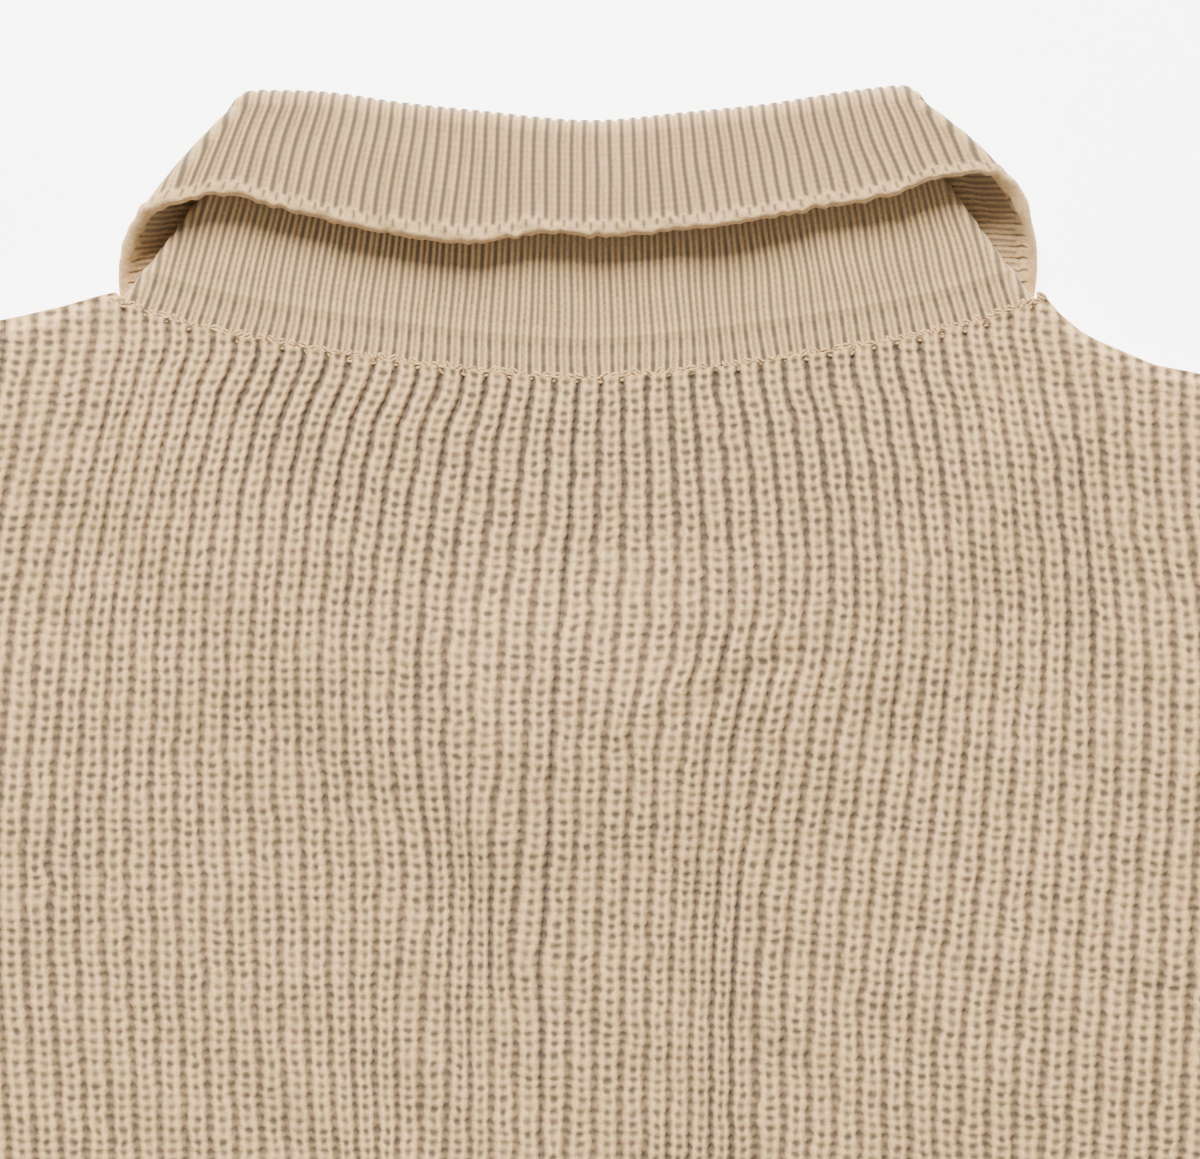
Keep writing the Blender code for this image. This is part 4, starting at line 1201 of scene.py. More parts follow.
@dataclass(frozen=True)
class CollarBand:
    """The collar: one ribbed band linked to the neck, which stands, rolls over and falls.

    A place on it is its path, 0 to 1 up the stand, 1 to 2 over the roll and 2 to 3 down the fall,
    and its share around, -1 to 1 from front edge to front edge.
    """

    ribs_per_half: int = 78
    close_ribs: int = 42
    close_columns: int = 6
    far_columns: int = 2
    course_pitch: float = 1.45
    back_stand_z: float = 7.35
    back_roll: float = 2.4
    front_roll: float = 1.4
    rim_rise: float = 1.45
    tuck_angle: float = 0.35
    fold_half: float = 64.0
    rim_half: float = 81.0
    rim_band: float = 3.3
    rim_tick_end: float = 3.6
    foot_band: float = 8.0
    back_points: int = 60
    turn_points: int = 48
    front_points: int = 80
    side_pitch: float = 2.48
    # path, width of a rib at the centre back
    back_pitch: tuple = ((0.0, 2.85), (1.0, 2.45), (2.0, 2.5), (3.0, 2.75))
    # the top of the fold across the back: x, y
    fold_line: tuple = (
        (-64.0, 59.3), (-50.0, 58.9), (-37.0, 57.0), (-20.0, 55.1), (4.0, 53.1),
        (21.0, 54.7), (38.0, 56.5), (54.0, 59.1), (64.0, 60.3),
    )
    # the wavy rim across the back: x, y
    rim_line: tuple = (
        (-82.0, 35.1), (-75.0, 37.2), (-61.0, 34.7), (-48.0, 31.2), (-36.0, 28.9),
        (-20.6, 27.3), (-9.0, 29.3), (4.5, 28.7), (20.0, 29.9), (36.0, 32.0),
        (49.0, 34.5), (65.0, 37.6), (72.0, 40.3), (80.0, 41.9),
    )
    lumps: Unevenness = Unevenness(seed=21, shortest=3.5, longest=9.0)
    billow: Unevenness = Unevenness(seed=22, shortest=22.0, longest=70.0)
    wobble: Unevenness = Unevenness(seed=23, shortest=9.0, longest=40.0)

    def half_ring(self, path: float, side: int) -> tuple[Array, Array]:
        """Half of the middle surface at one place on the path, from the centre back round.

        The back line goes from the neck seam to the fold and on to the rim, the side turns over a
        half circle, and the front line is a power curve down to the centre front.

        Args:
            path: The place on the path.
            side: -1 for the photo's left, 1 for its right.

        Returns:
            Its points, and their distance along it.
        """
        stand, fall = min(path, 1.0), max(path - 2.0, 0.0)
        roll = math.pi * min(max(path - 1.0, 0.0), 1.0)
        turned = (1.0 - math.cos(roll)) / 2
        side_turn = LAY.ring_size("side_turn", stand, turned, fall)
        flat_end = LAY.ring_size("half_width", stand, turned, fall) - side_turn
        back_z = self.back_stand_z + 2 * self.back_roll * turned + self.rim_rise * fall
        front_side = LAY.ring_size("front_side_y", stand, turned, fall)
        front_centre = LAY.front_neck_y + LAY.stand_height * stand - LAY.fall_height * fall
        front_roll = self.front_roll * math.sin(roll)

        def back_y(share: Array) -> Array:
            """The back line's height."""
            fold = through(self.fold_line, side * self.fold_half * share)
            fold = fold - LAY.collar_wall / 2 - self.back_roll
            rim = through(self.rim_line, side * self.rim_half * share)
            seam = LAY.neck_seam((LAY.neck_half - LAY.neck_corner) * share)
            up = seam + (fold - seam) * stand
            return up + self.back_roll * math.sin(roll) + (rim - fold) * fall

        def front_y(share: Array) -> Array:
            """The front line's height."""
            return front_centre + (front_side - front_centre) * share**LAY.front_scoop + front_roll

        across = np.linspace(0.0, 1.0, self.back_points)
        turn = np.linspace(math.pi / 2, -math.pi / 2, self.turn_points + 2)[1:-1]
        home = np.linspace(1.0, 0.4 / flat_end, self.front_points)
        early = smooth((turn + self.tuck_angle) / (math.pi / 2 + self.tuck_angle))
        x = np.concatenate((flat_end * across, flat_end + side_turn * np.cos(turn), flat_end * home))
        ones, zeros = np.ones_like(across), np.zeros_like(home)
        level = np.concatenate((ones, (1.0 + np.sin(turn)) / 2, zeros))
        tucked = np.concatenate((ones, early, zeros))
        past_back = np.full(len(turn) + len(home), back_y(np.array(1.0)))
        back = np.concatenate((back_y(across), past_back))
        front = np.concatenate((np.full(len(across) + len(turn), front_y(1.0)), front_y(home)))
        y = front + (back - front) * level
        share_up = level + (tucked - level) * turned
        front_z = LAY.collar_wall / 2 + LAY.front_lift(x, y) * (1.0 - turned)
        if side < 0:
            front_z = front_z + LAY.inner_front_raise(-x, y) * (1.0 - turned)
        z = front_z + (back_z - front_z) * share_up
        points = np.column_stack((side * x, y, z))
        steps = np.linalg.norm(np.diff(points, axis=0), axis=1)
        return points, np.concatenate(((0.0,), np.cumsum(steps)))

    def middle(self, paths: Array, around: Array) -> Array:
        """The middle surface on a grid.

        Ribs keep their width across the back, so a share s lies at p s + (l - p) s cubed along a
        ring of length l, where p is what all the ribs would take up at the back's width.
        """
        made = np.zeros((len(paths), len(around), 3))
        pitches = np.interp(paths, *np.array(self.back_pitch).T)
        for row, path in enumerate(paths):
            for side in (-1, 1):
                points, length = self.half_ring(float(path), side)
                mine = around < 0 if side < 0 else around >= 0
                share = np.abs(around[mine])
                start = pitches[row] * self.ribs_per_half
                at = start * share + (length[-1] - start) * share**3
                made[row, mine] = np.column_stack(
                    [np.interp(at, length, points[:, k]) for k in range(3)]
                )
        return made

    def normals(self, middle: Array, paths: Array) -> Array:
        """The middle surface's unit normals, towards the face that shows on the fall."""
        along = np.gradient(middle, axis=1)
        up = np.gradient(middle, paths, axis=0)
        normal = np.cross(up, along)
        normal = normal / np.maximum(np.linalg.norm(normal, axis=-1), 1e-9)[..., None]
        normal[0, :, 1] = 0.0
        return normal

    def path_length(self, paths: Array) -> Array:
        """Millimetres along the band from the seam at each path, at the centre back."""
        knots = (0.0, 1.0, 2.0, 3.0)
        roll = math.pi * self.back_roll
        lengths = np.cumsum((0.0, LAY.stand_height, roll, LAY.fall_height))
        return np.interp(paths, knots, lengths)

    def around(self) -> Array:
        """Shares around, fine where the ribs show in the photo."""
        close = np.linspace(0.0, self.close_ribs, self.close_ribs * self.close_columns + 1)
        rest = self.ribs_per_half - self.close_ribs
        far = np.linspace(self.close_ribs, self.ribs_per_half, rest * self.far_columns + 1)[1:]
        half = np.concatenate((close, far)) / self.ribs_per_half
        return np.concatenate((-half[:0:-1], half))

    def face(self, paths: Array, around: Array, shows_on_fall: bool) -> dict:
        """One face of the wall, with its ribs cut into it.

        Args:
            paths: The rows' places on the path.
            around: The columns' shares around.
            shows_on_fall: Whether it is the face that shows on the fall, or that of the stand.

        Returns:
            The arguments of Wall.grid.
        """
        middle = self.middle(paths, around)
        normal = self.normals(middle, paths)
        length = self.path_length(paths)[:, None]
        total = float(self.path_length(np.array(3.0)))
        x, y = middle[..., 0], middle[..., 1]
        from_rim = total - length + 0.0 * x
        rim_edge = self.rim_band + 0.55 * self.lumps.at(x * 1.3, y)
        rim = smooth((rim_edge + 0.5 - from_rim) / 1.0)
        tick = smooth((from_rim - 0.9) / 0.8) * smooth((self.rim_tick_end - from_rim) / 0.9)
        flat = np.broadcast_to(0.0 if shows_on_fall else 1.0, x.shape)
        rib = around[None, :] * self.ribs_per_half + 0.07 * self.wobble.at(x, y)
        if not shows_on_fall:
            turned = smooth((np.abs(x) - 62.0) / 9.0) * smooth((paths - 1.5) / 0.4)[:, None]
            rib = rib + (-np.sign(x) * y / self.side_pitch - rib) * turned
        relief = COLLAR_STITCH.relief(rib, flat, rim)
        foot = np.exp(-(((length - self.foot_band) / 0.9) ** 2)) * (0.0 if shows_on_fall else 0.4)
        end = np.clip(from_rim / (LAY.collar_wall / 2 + 0.1), 0.0, 1.0)
        closing = np.sqrt(np.clip(1.0 - (1.0 - end) ** 2, 0.0, 1.0))
        plump = 0.30 * rim * (1.0 + self.lumps.at(x, y)) * (1.0 if shows_on_fall else 0.4)
        half = (LAY.collar_wall / 2 + relief + foot + plump) * np.maximum(closing, 0.02)
        sign = 1.0 if shows_on_fall else -1.0
        points = middle + normal * (sign * half)[..., None]
        on_back = smooth((np.abs(around) * -1.0 + 0.5) / 0.1)[None, :]
        fall_share = np.clip(np.minimum((paths - 1.0) / 1.0, 1.0), 0.0, 1.0)[:, None]
        points[..., 2] += 0.55 * (1.0 + self.billow.at(x, y * 0.6)) * on_back * fall_share
        points[..., 2] = np.maximum(points[..., 2], 0.0)
        points[..., 1] += 0.28 * rim * self.lumps.at(x * 1.4, y * 0.3)
        dots = smooth((self.foot_band - length) / 2.0) * (0.0 if shows_on_fall else 1.0) + 0.0 * x
        # where the fall's shadow lies on the stand: the mask of painted shade that flattens the ribs'
        # brightness
        shade_under_fall = smooth((length - 23.5) / 5.0) * (0.0 if shows_on_fall else 1.0) + 0.0 * x
        course = length / self.course_pitch + 0.0 * x
        return {
            "points": points,
            "stitch_at": np.stack((rib + 0.5, course), -1),
            "flat": flat,
            "rim": rim,
            "tick": tick,
            "dots": dots,
            "shade_under_fall": shade_under_fall,
        }

    def build(self, finishes: Finishes) -> None:
        """Makes the collar."""
        around = self.around()
        ending = 3.0 - np.array((1.35, 1.0, 0.65, 0.38, 0.18, 0.05, 0.0)) / LAY.fall_height
        stand_close = np.linspace(0.0, 0.62, 34)
        stand_far = np.linspace(0.62, 1.0, 5)[1:]
        roll_far = np.linspace(1.0, 2.0, 7)[1:]
        fall_far = np.linspace(2.0, ending[0], 27)[1:]
        outside_paths = np.concatenate((stand_close, stand_far, roll_far, fall_far, ending[1:]))
        stand_inside = np.linspace(0.0, 1.0, 9)
        roll_close = np.linspace(1.0, 2.0, 12)[1:]
        fall_close = np.linspace(2.0, ending[0], 30)[1:]
        inside_paths = np.concatenate((stand_inside, roll_close, fall_close, ending[1:]))
        wall = Wall()
        stand_face = self.face(outside_paths, around, False)
        outer = wall.grid(**stand_face)
        fall_face = self.face(inside_paths, around, True)
        inner = wall.grid(**fall_face)
        wall.close(outer, inner)
        piece = wall.piece("collar_band", finishes.collar)
        middle = self.middle(inside_paths, around)
        ring = float(np.linalg.norm(np.diff(middle[0], axis=0), axis=1).sum())
        band = float(self.path_length(np.array(3.0)))
        cut = Cut(ring * 1.06 * MM, band * MM, ring * 0.96 * band * MM * MM, Held.FOLDED)
        dress(piece, "collar", cut)


@dataclass(frozen=True)
class LinkingChain:
    """A row of chain loops that links two pieces, over a plain core of the same yarn.

    A loop is a ring of yarn pulled into an ellipse along the seam, with its ends a little lower,
    and each reaches into the next.
    """

    name: str
    pitch: float
    length: float
    yarn: float
    height: float
    seed: int
    width: float = 0.7
    stagger: float = 0.42
    segments: int = 14
    sides: int = 6
    scatter: float = 0.3
    end_drop: float = 0.25
    core_share: float = 1.5
    core_rings: int = 160

    @staticmethod
    def neck_path() -> Array:
        """Along the back neck seam, rising over the shoulders' ends."""
        x = np.linspace(-96.4, 96.4, 2000)
        y = LAY.neck_seam(x) - 0.3 + 1.4 * smooth((np.abs(x) - 91.5) / 4.5)
        return np.stack((x, y), -1)

    @staticmethod
    def armhole_path(side: int) -> Array:
        """Along an armhole, from the shoulder to the underarm."""
        start = float(LAY.shoulder(np.array(side * LAY.shoulder_half)))
        share = np.linspace(0.0, 1.0, 300)
        straight_x = LAY.shoulder_half + LAY.armhole_lean * share
        straight_y = start + (LAY.armhole_straight_y - start) * share
        turn = share[1:] * math.pi / 2
        reach = LAY.chest_half - LAY.shoulder_half - LAY.armhole_lean
        curve_x = LAY.chest_half - reach * np.cos(turn)
        curve_y = LAY.armhole_straight_y + (LAY.underarm_y - LAY.armhole_straight_y) * np.sin(turn)
        x = np.concatenate((straight_x, curve_x)) + LAY.seam_gap / 2
        return np.stack((side * x, np.concatenate((straight_y, curve_y))), -1)

    def core(self, path: Array) -> Array:
        """Rings of a plain yarn along the path that closes the seam under the loops."""
        picked = path[:: max(len(path) // self.core_rings, 1)]
        ahead = np.gradient(picked, axis=0)
        ahead = ahead / np.linalg.norm(ahead, axis=-1)[:, None]
        beside = np.stack((-ahead[:, 1], ahead[:, 0]), -1)
        around = np.linspace(0.0, 2 * math.pi, self.sides, endpoint=False)
        radius = np.full(len(picked), self.yarn * self.core_share)
        radius[[0, -1]] = 0.01
        flat = picked[:, None] + beside[:, None] * (radius[:, None] * np.cos(around))[..., None]
        z = self.height - self.yarn * self.core_share + radius[:, None] * np.sin(around)
        return np.concatenate((flat, z[..., None]), -1)

    def build(self, finishes: Finishes, path: Array) -> None:
        """Makes the chain as one mesh of loops and their core."""
        steps = np.linalg.norm(np.diff(path, axis=0), axis=-1)
        run = np.concatenate(((0.0,), np.cumsum(steps)))
        count = int(run[-1] / self.pitch)
        at = (np.arange(count) + 0.5) * run[-1] / count
        centre = np.stack([np.interp(at, run, path[:, k]) for k in range(2)], -1)
        ahead = np.gradient(path, axis=0)
        heading = np.interp(at, run, np.unwrap(np.arctan2(ahead[:, 1], ahead[:, 0])))
        turn = np.linspace(0.0, 2 * math.pi, self.segments, endpoint=False)
        around = np.linspace(0.0, 2 * math.pi, self.sides, endpoint=False)
        draw = np.random.default_rng(self.seed)
        size = draw.uniform(0.8, 1.2, (count, 1))
        tilt = draw.uniform(-1.0, 0.7, count)
        centre = centre + draw.uniform(-self.scatter, self.scatter, centre.shape)
        beside = np.stack((-np.sin(heading), np.cos(heading)), -1)
        sideways = np.where(np.arange(count) % 2, self.stagger, -self.stagger)
        centre = centre + beside * sideways[:, None]
        loop_x = np.cos(turn) * self.length / 2 * size
        loop_y = np.sin(turn) * self.width / 2 * size
        out_x = np.cos(turn) * self.width / self.length + 0.0 * size
        out_y = np.sin(turn) + 0.0 * size
        reach = np.hypot(out_x, out_y)
        tube = self.yarn * np.cos(around)
        px = loop_x[..., None] + (out_x / reach)[..., None] * tube
        py = loop_y[..., None] + (out_y / reach)[..., None] * tube
        drop = -self.end_drop * np.abs(np.cos(turn)) ** 3
        pz = self.height + drop[None, :, None] + self.yarn * np.sin(around) + 0.0 * px
        angle = heading + tilt
        cos, sin = np.cos(angle)[:, None, None], np.sin(angle)[:, None, None]
        gx = centre[:, 0, None, None] + px * cos - py * sin
        gy = centre[:, 1, None, None] + px * sin + py * cos
        loops = np.stack((gx, gy, pz), -1).reshape(-1, 3)
        core = self.core(path)
        points = LAY.row_frame(np.concatenate((loops, core.reshape(-1, 3))))
        numbers = np.arange(count * self.segments * self.sides)
        numbers = numbers.reshape(count, self.segments, self.sides)
        next_ring, next_point = np.roll(numbers, -1, 1), np.roll(numbers, -1, 2)
        both = np.roll(next_ring, -1, 2)
        faces = np.stack((numbers, next_ring, both, next_point), -1).reshape(-1, 4)
        rings = len(loops) + np.arange(core.shape[0] * self.sides).reshape(-1, self.sides)
        next_side = np.roll(rings, -1, 1)
        walls = np.stack((rings[:-1], rings[1:], next_side[1:], next_side[:-1]), -1).reshape(-1, 4)
        ends = [rings[0].tolist(), rings[-1].tolist()]
        mesh = closed_mesh(self.name, points, faces.tolist() + walls.tolist() + ends)
        piece = place(self.name, mesh, finishes.linking)
        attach(piece, BODY)

    @classmethod
    def build_all(cls, finishes: Finishes) -> None:
        """Makes the neck's chain and the coarser one in each armhole."""
        neck = cls("linking_chain", pitch=1.15, length=1.9, yarn=0.33, height=8.38, seed=31)
        neck.build(finishes, cls.neck_path())
        for side, name in ((-1, "armhole_chain_left"), (1, "armhole_chain_right")):
            chain = cls(name, pitch=2.6, length=3.4, yarn=0.5, height=6.25, seed=33 + side)
            chain.build(finishes, cls.armhole_path(side))


# ------------------------------------------------------------------ fronts, sleeves, bands, buttons


@dataclass(frozen=True)
class FrontPanel:
    """A front, flat on the surface, that rides over the front of the collar."""

    side: int
    columns: int = 90
    rows: int = 90

    def build(self, finishes: Finishes) -> None:
        """Makes the front: a wall whose under face is flat, with the stitches on both."""
        name = "front_left" if self.side < 0 else "front_right"
        start = LAY.band_half + LAY.seam_gap
        corner = (LAY.shoulder_half, LAY.straight_end)
        plain = np.linspace(start, LAY.chest_half, self.columns)
        away = np.sort(np.concatenate((plain, corner, (LAY.neck_half, LAY.shoulder_start))))
        x = self.side * away
        neck_gap = LAY.seam_gap * np.where(away < LAY.neck_half - LAY.neck_corner, 2.4, 1.5)
        top = LAY.top_edge(x, LAY.front_neck_seam(x) - neck_gap)
        share = np.linspace(0.0, 1.0, self.rows) ** 1.4
        y = top + (-LAY.body_length - top) * share[:, None]
        drawn = x * np.where(away > LAY.band_half + 20.0, LAY.draw_in(y), 1.0)
        under = LAY.front_lift(drawn, y)
        if self.side < 0:
            under = under + LAY.inner_front_raise(drawn, y)
        rib = (x + LAY.chest_half) / LAY.rib_pitch + 0.0 * y
        stitch_at = np.stack((rib, -y / BackPanel.body_pitch), -1)
        # a little painted shade in the furrows
        marks = {"gather": 0.15 + 0.0 * y, "shaped": 0.0 * y}
        wall = Wall()
        lower = wall.grid(np.stack((drawn, y, under), -1), stitch_at, **marks)
        upper = wall.grid(np.stack((drawn, y, under + LAY.wall), -1), stitch_at, **marks)
        wall.close(lower, upper)
        piece = wall.piece(name + "_knit", finishes.body)
        cut = flat_cut(np.stack((drawn, y, under), -1))
        dress(piece, name, cut)


@dataclass(frozen=True)
class SleeveTube:
    """A sleeve, flattened, ribbed along its length and folded at both edges."""

    side: int
    angle: float = math.radians(-55.0)
    ribs: int = 28
    columns_per_rib: int = 4
    rows: int = 84
    edge_round: float = 3.2
    hollow_inset: float = 2.6
    ease: float = 0.8
    # angle of the row, its length, step along the sleeve
    fan: tuple = ((87.0, 200.0, 2.0), (70.0, 192.0, 5.0), (52.0, 187.0, 9.0), (35.0, 185.0, 14.0))
    # distance along it, width laid flat
    lengths: tuple = (
        (130.0, 151.0), (215.0, 129.0), (295.0, 108.0), (305.0, 98.0), (365.0, 94.0)
    )
    # distance along the sleeve, share across, size along, height
    folds: tuple = (
        (0.14, 0.75, 0.05, 1.8), (0.22, 0.55, 0.04, 1.3), (0.42, 0.30, 0.05, 1.6),
        (0.50, 0.62, 0.035, 1.4), (0.58, 0.40, 0.03, 1.0), (0.80, 0.50, 0.03, 1.1),
    )
    uneven: Unevenness = Unevenness(seed=41, shortest=30.0, longest=110.0)

    def cap_seam(self, share: Array) -> Array:
        """The armhole seam on the sleeve's side, from the shoulder (0) to the underarm (1)."""
        start = float(LAY.shoulder(np.array(self.side * LAY.shoulder_half)))
        corner = LAY.straight_end
        turn = np.linspace(0.0, math.pi / 2, 25)
        curve_x = LAY.chest_half - (LAY.chest_half - corner) * np.cos(turn)
        drop = LAY.underarm_y - LAY.armhole_straight_y
        curve_y = LAY.armhole_straight_y + drop * np.sin(turn)
        xs = np.concatenate(((LAY.shoulder_half,), curve_x)) + 1.3 * LAY.seam_gap
        ys = np.concatenate(((start,), curve_y)) + LAY.seam_gap
        length = np.concatenate(((0.0,), np.cumsum(np.hypot(np.diff(xs), np.diff(ys)))))
        at = share * length[-1]
        return np.column_stack((np.interp(at, length, xs), np.interp(at, length, ys)))

    def flat_rows(self, share: Array) -> Array:
        """The sleeve's rows laid flat, from the armhole to the cuff: rows by shares by 2."""
        seam = self.cap_seam(share)
        bend = seam - (seam[:1] + (seam[-1:] - seam[:1]) * share[:, None])
        along = np.array((math.cos(self.angle), math.sin(self.angle)))
        across = np.array((-along[1], along[0]))
        underarm = seam[-1] + (LAY.seam_gap, 0.0)
        rows = [seam]
        for k, (angle, length, step) in enumerate(self.fan):
            turn = math.radians(angle)
            low = underarm + along * step
            high = low + length * np.array((math.cos(turn), math.sin(turn)))
            fade = (1.0 - (k + 1) / len(self.fan)) ** 1.3
            rows.append(high + (low - high) * share[:, None] + bend * fade)
        middle = (high + low) / 2
        for distance, width in self.lengths:
            centre = middle + along * distance
            high, low = centre + across * width / 2, centre - across * width / 2
            rows.append(high + (low - high) * share[:, None])
        return np.stack(rows) * (self.side, 1.0)

    def between(self, rows: Array, count: int) -> Array:
        """The rows made into a smooth run of that many: a cubic between each pair.

        Args:
            rows: Rows by shares by 2.
            count: How many rows to make.

        Returns:
            The new rows.
        """
        centres = rows.mean(axis=1)
        steps = np.linalg.norm(np.diff(centres, axis=0), axis=1)
        at = np.concatenate(((0.0,), np.cumsum(steps)))
        slopes = np.gradient(rows, at, axis=0)
        place_at = np.linspace(0.0, at[-1], count)
        i = np.clip(np.searchsorted(at, place_at) - 1, 0, len(at) - 2)
        width = (at[i + 1] - at[i])[:, None, None]
        t = ((place_at - at[i]) / (at[i + 1] - at[i]))[:, None, None]
        return cubic(t, width, (rows[i], rows[i + 1]), (slopes[i], slopes[i + 1]), self.ease)

    def lift(self, along: Array, share: Array) -> Array:
        """The folds' height: bells along the sleeve that fade towards its edges."""
        total = np.zeros(np.broadcast(along, share).shape)
        for place_at, across, size, height in self.folds:
            slanted = along + 0.10 * (share - across) * self.side
            bell = np.exp(-(((slanted - place_at) / size) ** 2))
            total = total + height * bell * np.exp(-(((share - across) / 0.30) ** 2))
        return total

    def build(self, finishes: Finishes) -> None:
        """Makes the sleeve: an outer tube with ribs, and a plain one inside it."""
        name = "sleeve_left" if self.side < 0 else "sleeve_right"
        count = self.ribs * self.columns_per_rib
        share = np.linspace(0.0, 1.0, count + 1)
        flat = self.between(self.flat_rows(share), self.rows)
        width = np.linalg.norm(flat[:, -1] - flat[:, 0], axis=-1)[:, None]
        from_edge = np.minimum(share, 1.0 - share) * width
        turned = np.clip(from_edge / self.edge_round, 0.0, 1.0)
        rounding = np.sqrt(1.0 - (1.0 - turned) ** 2)
        full = 2 * LAY.wall + LAY.seam_gap
        middle = full / 2
        rib = share * self.ribs + 0.0 * width
        furrow = smooth((np.abs(rib % 1.0 - 0.5) * 2 - 0.4) / 0.6)
        ends = np.linspace(0.0, 1.0, self.rows)[:, None]
        fade = smooth(ends / 0.06) * smooth((1.0 - ends) / 0.03)
        lifted = self.lift(ends, share[None, :]) * fade
        lifted = lifted + 0.4 * (1.0 + self.uneven.at(flat[..., 0], flat[..., 1])) * fade
        top = middle + (full - middle + lifted) * rounding - 0.8 * furrow * rounding
        bottom = middle - middle * rounding
        steps = np.linalg.norm(np.diff(flat.mean(axis=1), axis=0), axis=1)
        along = np.concatenate(((0.0,), np.cumsum(steps)))
        course = along[:, None] / BackPanel.body_pitch + 0.0 * share
        over = np.concatenate((flat, top[..., None]), -1)
        below = np.concatenate((flat, bottom[..., None]), -1)[:, ::-1]
        ring = np.concatenate((over, below[:, 1:]), 1)
        ring[:, -1] = ring[:, 0]
        back_rib = 2 * self.ribs - rib[:, ::-1]
        ribs = np.concatenate((rib, back_rib[:, 1:]), 1)
        courses = np.concatenate((course, course[:, 1:]), 1)
        wall = Wall()
        # a little painted shade in the furrows
        marks = {"gather": 0.12 + 0.0 * ribs, "shaped": 0.0 * ribs}
        outer = wall.grid(ring, np.stack((ribs, courses), -1), **marks)
        coarse = np.linspace(0.0, 1.0, 9)
        hollow_flat = self.between(self.flat_rows(coarse), 12)
        edge = hollow_flat[:, -1] - hollow_flat[:, 0]
        edge = edge / np.linalg.norm(edge, axis=-1)[:, None]
        hollow_flat[:, 0] += edge * self.hollow_inset
        hollow_flat[:, -1] -= edge * self.hollow_inset
        roof = np.dstack((hollow_flat, np.full(hollow_flat.shape[:2], LAY.wall + LAY.seam_gap)))
        base = np.dstack((hollow_flat, np.full(hollow_flat.shape[:2], LAY.wall)))[:, ::-1]
        hollow = np.concatenate((roof, base, roof[:, :1]), 1)
        nothing = np.zeros(hollow.shape[:2])
        inner = wall.grid(hollow, np.dstack((nothing, nothing)), gather=nothing, shaped=nothing)
        for end in (0, -1):
            wall.strip(outer[end], inner[end])
        piece = wall.piece(name + "_knit", finishes.body)
        length = float(along[-1])
        area = float((np.diff(along) * (width[1:, 0] + width[:-1, 0])).sum())
        cut = Cut(2 * float(width.max()) * MM, length * MM, area * MM * MM, Held.FOLDED)
        dress(piece, name, cut)


@dataclass(frozen=True)
class ButtonBand:
    """A front band: a flat ribbed strip with soft edges, dimpled where the buttons press in."""

    name: str
    low: float
    thickness: float
    dimpled: bool
    columns: int = 25
    rows: int = 284
    rib_pitch: float = 3.0
    edge_round: float = 1.3

    def build(self, finishes: Finishes, buttons: "ButtonRow") -> None:
        """Makes the band."""
        x = np.linspace(-LAY.band_half, LAY.band_half, self.columns)
        y = np.linspace(LAY.front_neck_y - 2 * LAY.seam_gap, -LAY.body_length, self.rows)
        grid_x, grid_y = np.meshgrid(x, y)
        from_edge = np.minimum(LAY.band_half - np.abs(grid_x), grid_y + LAY.body_length)
        from_edge = np.minimum(from_edge, y[0] - grid_y)
        turned = np.clip(from_edge / self.edge_round, 0.0, 1.0)
        rounding = 0.25 + 0.75 * np.sqrt(1.0 - (1.0 - turned) ** 2)
        middle = self.low + self.thickness / 2
        top = middle + self.thickness / 2 * rounding
        bottom = middle - self.thickness / 2 * rounding
        if self.dimpled:
            bottom = np.maximum(bottom, buttons.dimple(grid_x, grid_y))
        stitch_at = np.stack((grid_x / self.rib_pitch, -grid_y / CollarBand.course_pitch), -1)
        nothing = np.zeros(grid_x.shape)
        marks = dict.fromkeys(("rim", "tick", "dots", "shade_under_fall"), nothing)
        marks["flat"] = nothing + 0.5
        wall = Wall()
        upper = wall.grid(np.stack((grid_x, grid_y, top), -1), stitch_at, **marks)
        lower = wall.grid(np.stack((grid_x, grid_y, bottom), -1), stitch_at, **marks)
        wall.close(upper, lower)
        piece = wall.piece(self.name + "_rib", finishes.collar)
        width, length = 2 * LAY.band_half * MM, float(np.ptp(y)) * MM
        dress(piece, self.name, Cut(width, length, width * length))


